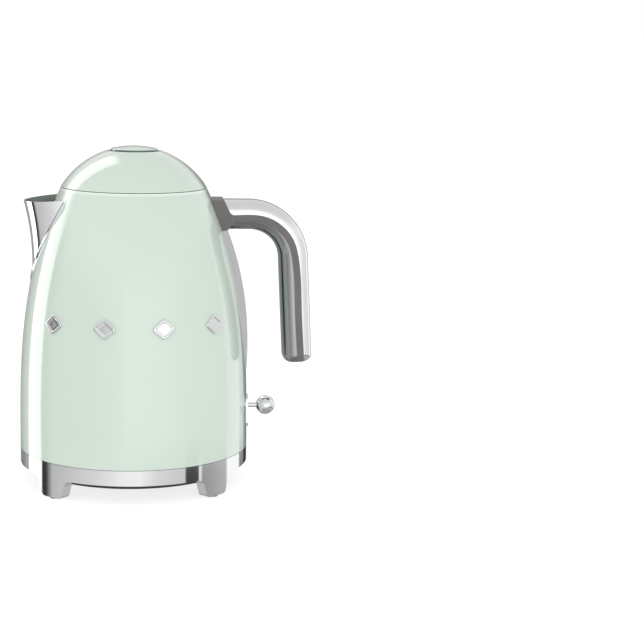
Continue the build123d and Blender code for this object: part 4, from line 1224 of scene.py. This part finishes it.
# ------------------------------------------------------------------ studio
@dataclass
class Studio:
    """Pale floor, soft lights and the surroundings that the bright metal mirrors."""

    floor_half: float = 60.0
    floor_colour: Colour = (0.32, 0.32, 0.32)
    glow: float = 0.82
    # direction round the kettle in degrees, 0 in front and + towards the handle, and brightness
    strips: Ramp = (
        (-180.0, 0.40), (-152.0, 0.35), (-133.0, 0.50), (-131.0, 2.6), (-107.5, 2.4),
        (-106.5, 0.10), (-99.0, 0.12), (-90.0, 0.42), (-60.0, 0.46), (-40.0, 0.54), (-16.0, 0.90),
        (-6.0, 1.36), (26.0, 1.34), (60.0, 0.88), (107.0, 0.80), (109.0, 1.1), (134.0, 1.1),
        (136.0, 0.70),
        (147.0, 0.62), (150.0, 0.06), (166.0, 0.08), (170.0, 0.40), (180.0, 0.40))
    # the same, lower down, where the flared base looks
    low_strips: Ramp = (
        (-180.0, 0.34), (-152.0, 0.22), (-133.0, 0.50), (-131.0, 2.6), (-107.5, 2.4),
        (-106.5, 0.035), (-99.0, 0.05), (-90.0, 0.56), (-60.0, 0.68), (-40.0, 0.78), (-12.0, 0.98),
        (6.0, 1.0), (22.0, 0.76), (52.0, 0.66), (53.5, 0.05), (68.0, 0.065), (69.0, 0.95),
        (71.0, 0.9), (72.5, 0.33), (107.0, 0.52), (109.0, 1.15), (134.0, 1.1), (136.0, 0.26),
        (149.0, 0.20), (151.0, 0.04), (167.0, 0.05), (170.0, 0.35), (180.0, 0.34))
    # sine of the elevation, and brightness there, above the strips
    above: Ramp = (
        (0.1, 0.98), (0.35, 1.0), (0.6, 0.78), (1.0, 0.72))
    # the same below them
    below: Ramp = (
        (-1.0, 0.42), (-0.82, 0.34), (-0.62, 0.55), (-0.5, 0.50), (-0.43, 0.24), (-0.36, 0.16))
    # the left soft box goes on over the top: share towards the back, and brightness 0 or 1
    tall_box: Ramp = ((0.36, 0.0), (0.40, 1.0), (0.70, 1.0), (0.76, 0.0))
    tall_box_side: Ramp = ((-0.26, 1.0), (-0.16, 0.0))
    tall_box_light: float = 2.6
    # light that gives shade: a little weaker towards the zenith
    sky: Ramp = ((-1.0, 1.0), (0.2, 1.0), (0.6, 0.84), (1.0, 0.72))
    strips_from: float = -0.42
    low_strips_to: float = -0.245
    strips_to: float = 0.30
    strips_fade: float = 0.14

    def build(self) -> None:
        """Lay the floor, hang the lights and wrap the surroundings."""
        self.floor()
        self.lights()
        self.surroundings()

    def floor(self) -> None:
        """Lay the floor."""
        shape = bmesh.new()
        half = self.floor_half
        shape.faces.new([shape.verts.new(c) for c in ((-half, -half, 0), (half, -half, 0),
                                                      (half, half, 0), (-half, half, 0))])
        piece = mesh_piece("studio_floor", shape)
        made = bpy.data.materials.new("floor_paper")
        made.use_nodes = True
        graph = Graph(made.node_tree)
        tone = graph.blend(graph.spread(graph.noise(3.0), 0.0, 1.0), self.floor_colour,
                           tuple(c * 0.995 for c in self.floor_colour))
        shader = graph.node("ShaderNodeBsdfPrincipled", None,
                            {"Base Color": tone, "Roughness": 0.9, "Specular IOR Level": 0.0,
                             "Emission Color": (1.0, 1.0, 1.0), "Emission Strength": self.glow})
        graph.node("ShaderNodeOutputMaterial", None, {"Surface": shader})
        piece.data.materials.append(made)
        piece.visible_glossy = False

    def lights(self) -> None:
        """Hang the soft boxes."""
        for name, place, size, power in (
                ("soft_left", (-1.1, -1.0, 1.1), 1.1, 5.0),
                ("soft_right", (1.2, -0.9, 0.9), 1.1, 3.0),
                ("soft_top", (0.0, 0.1, 1.7), 1.6, 2.5)):
            lamp = bpy.data.lights.new(name, "AREA")
            lamp.shape = "SQUARE"
            lamp.size = size
            lamp.energy = power
            hung = bpy.data.objects.new(name, lamp)
            hung.location = place
            aim = Vector((0, 0, 0.12)) - Vector(place)
            hung.rotation_euler = aim.to_track_quat("-Z", "Y").to_euler()
            hung.visible_glossy = False
            hung.visible_camera = False
            bpy.context.scene.collection.objects.link(hung)

    def surroundings(self) -> None:
        """Even white for sight and shade, and upright strips for mirrors."""
        world = bpy.data.worlds.new("studio_surroundings")
        world.use_nodes = True
        bpy.context.scene.world = world
        graph = Graph(world.node_tree)
        way = graph.node("ShaderNodeTexCoord", output="Generated")
        parts = {axis: graph.node("ShaderNodeSeparateXYZ", None, {0: way}, axis) for axis in "XYZ"}
        bearing = graph.node("ShaderNodeMath", {"operation": "ARCTAN2"},
                             {0: parts["X"], 1: parts["Y"] * -1.0})
        around = bearing * (0.5 / math.pi) + 0.5
        peak = max(level for _, level in self.strips)
        height = parts["Z"] * 0.5 + 0.5
        strips = graph.blend(
            self.ramp(graph, height, ((self.low_strips_to - 0.01, 1.0),
                                      (self.low_strips_to + 0.01, 0.0)), -1.0, 1.0, 1.0),
            self.ramp(graph, around, self.strips, -180.0, 180.0, peak),
            self.ramp(graph, around, self.low_strips, -180.0, 180.0, peak))
        above = self.ramp(graph, height, self.above, -1.0, 1.0, peak)
        below = self.ramp(graph, height, self.below, -1.0, 1.0, peak)
        fade = self.strips_fade
        over = self.ramp(graph, height, ((self.strips_to - fade, 0.0),
                                         (self.strips_to + fade, 1.0)), -1.0, 1.0, 1.0)
        under = self.ramp(graph, height, ((self.strips_from - fade * 0.3, 1.0),
                                          (self.strips_from + fade * 0.3, 0.0)), -1.0, 1.0, 1.0)
        back = parts["Y"] * 0.5 + 0.5
        side = parts["X"] * 0.5 + 0.5
        box = self.ramp(graph, back, self.tall_box, -1.0, 1.0, 1.0) \
            * self.ramp(graph, side, self.tall_box_side, -1.0, 1.0, 1.0)
        level = self.tall_box_light / peak
        above = graph.blend(box, above, (level, level, level))
        mirrored = graph.blend(under, graph.blend(over, strips, above), below)
        glossy = graph.node("ShaderNodeLightPath", output="Is Glossy Ray")
        bright = graph.node("ShaderNodeBackground", None, {"Color": mirrored, "Strength": peak})
        even = graph.node("ShaderNodeBackground", None, {
            "Color": self.ramp(graph, height, self.sky, -1.0, 1.0, 1.0), "Strength": 1.0})
        chosen = graph.node("ShaderNodeMixShader", None, {0: glossy, 1: even, 2: bright})
        graph.node("ShaderNodeOutputWorld", None, {"Surface": chosen})

    @staticmethod
    def ramp(graph: Graph, place: Socket, stops: Ramp, low: float, high: float,
             peak: float) -> Socket:
        """Grey ramp along a socket that runs from 0 to 1.

        Args:
            graph: The world's graph.
            place: The socket.
            stops: (value, brightness) pairs in the ramp's own units.
            low: Value that stands at 0.
            high: Value that stands at 1.
            peak: Brightness that stands for white.

        Returns:
            The grey.
        """
        spread = [((value - low) / (high - low), level / peak) for value, level in stops]
        return graph.node("ShaderNodeValToRGB", {"stops": spread}, {0: place}, 0)


@dataclass
class ViewCamera:
    """Camera a little above the kettle, which it sees left of the picture's middle."""

    place: Point = (0.0, -1.229, 0.335)
    pitch: float = -9.97
    yaw: float = -6.50
    roll: float = 1.1
    lens: float = 93.55
    sensor: float = 36.0

    def build(self) -> None:
        """Make the camera and hand it to the scene."""
        data = bpy.data.cameras.new("view_camera")
        data.lens = self.lens
        data.sensor_width = self.sensor
        camera = bpy.data.objects.new("view_camera", data)
        camera.location = self.place
        turn = Matrix.Rotation(math.radians(self.yaw), 4, "Z") \
            @ Matrix.Rotation(math.radians(90 + self.pitch), 4, "X") \
            @ Matrix.Rotation(math.radians(self.roll), 4, "Z")
        camera.rotation_euler = turn.to_euler()
        bpy.context.scene.collection.objects.link(camera)
        bpy.context.scene.camera = camera


def main() -> None:
    """Build the studio and every sub-assembly in order."""
    logging.basicConfig(level=logging.INFO, format="%(name)s %(message)s")
    bpy.context.scene.view_settings.view_transform = "Standard"
    ViewCamera().build()
    Studio().build()
    for assembly in (PowerBase(), Kettle(), Handle(), WaterWindow(), SwitchLever(), Lid(),
                     ButtonAndLatch()):
        assembly.build()
        LOG.info("%s done, new pieces: %s", type(assembly).__name__, assembly.made or "none")


if __name__ == "__main__":
    main()
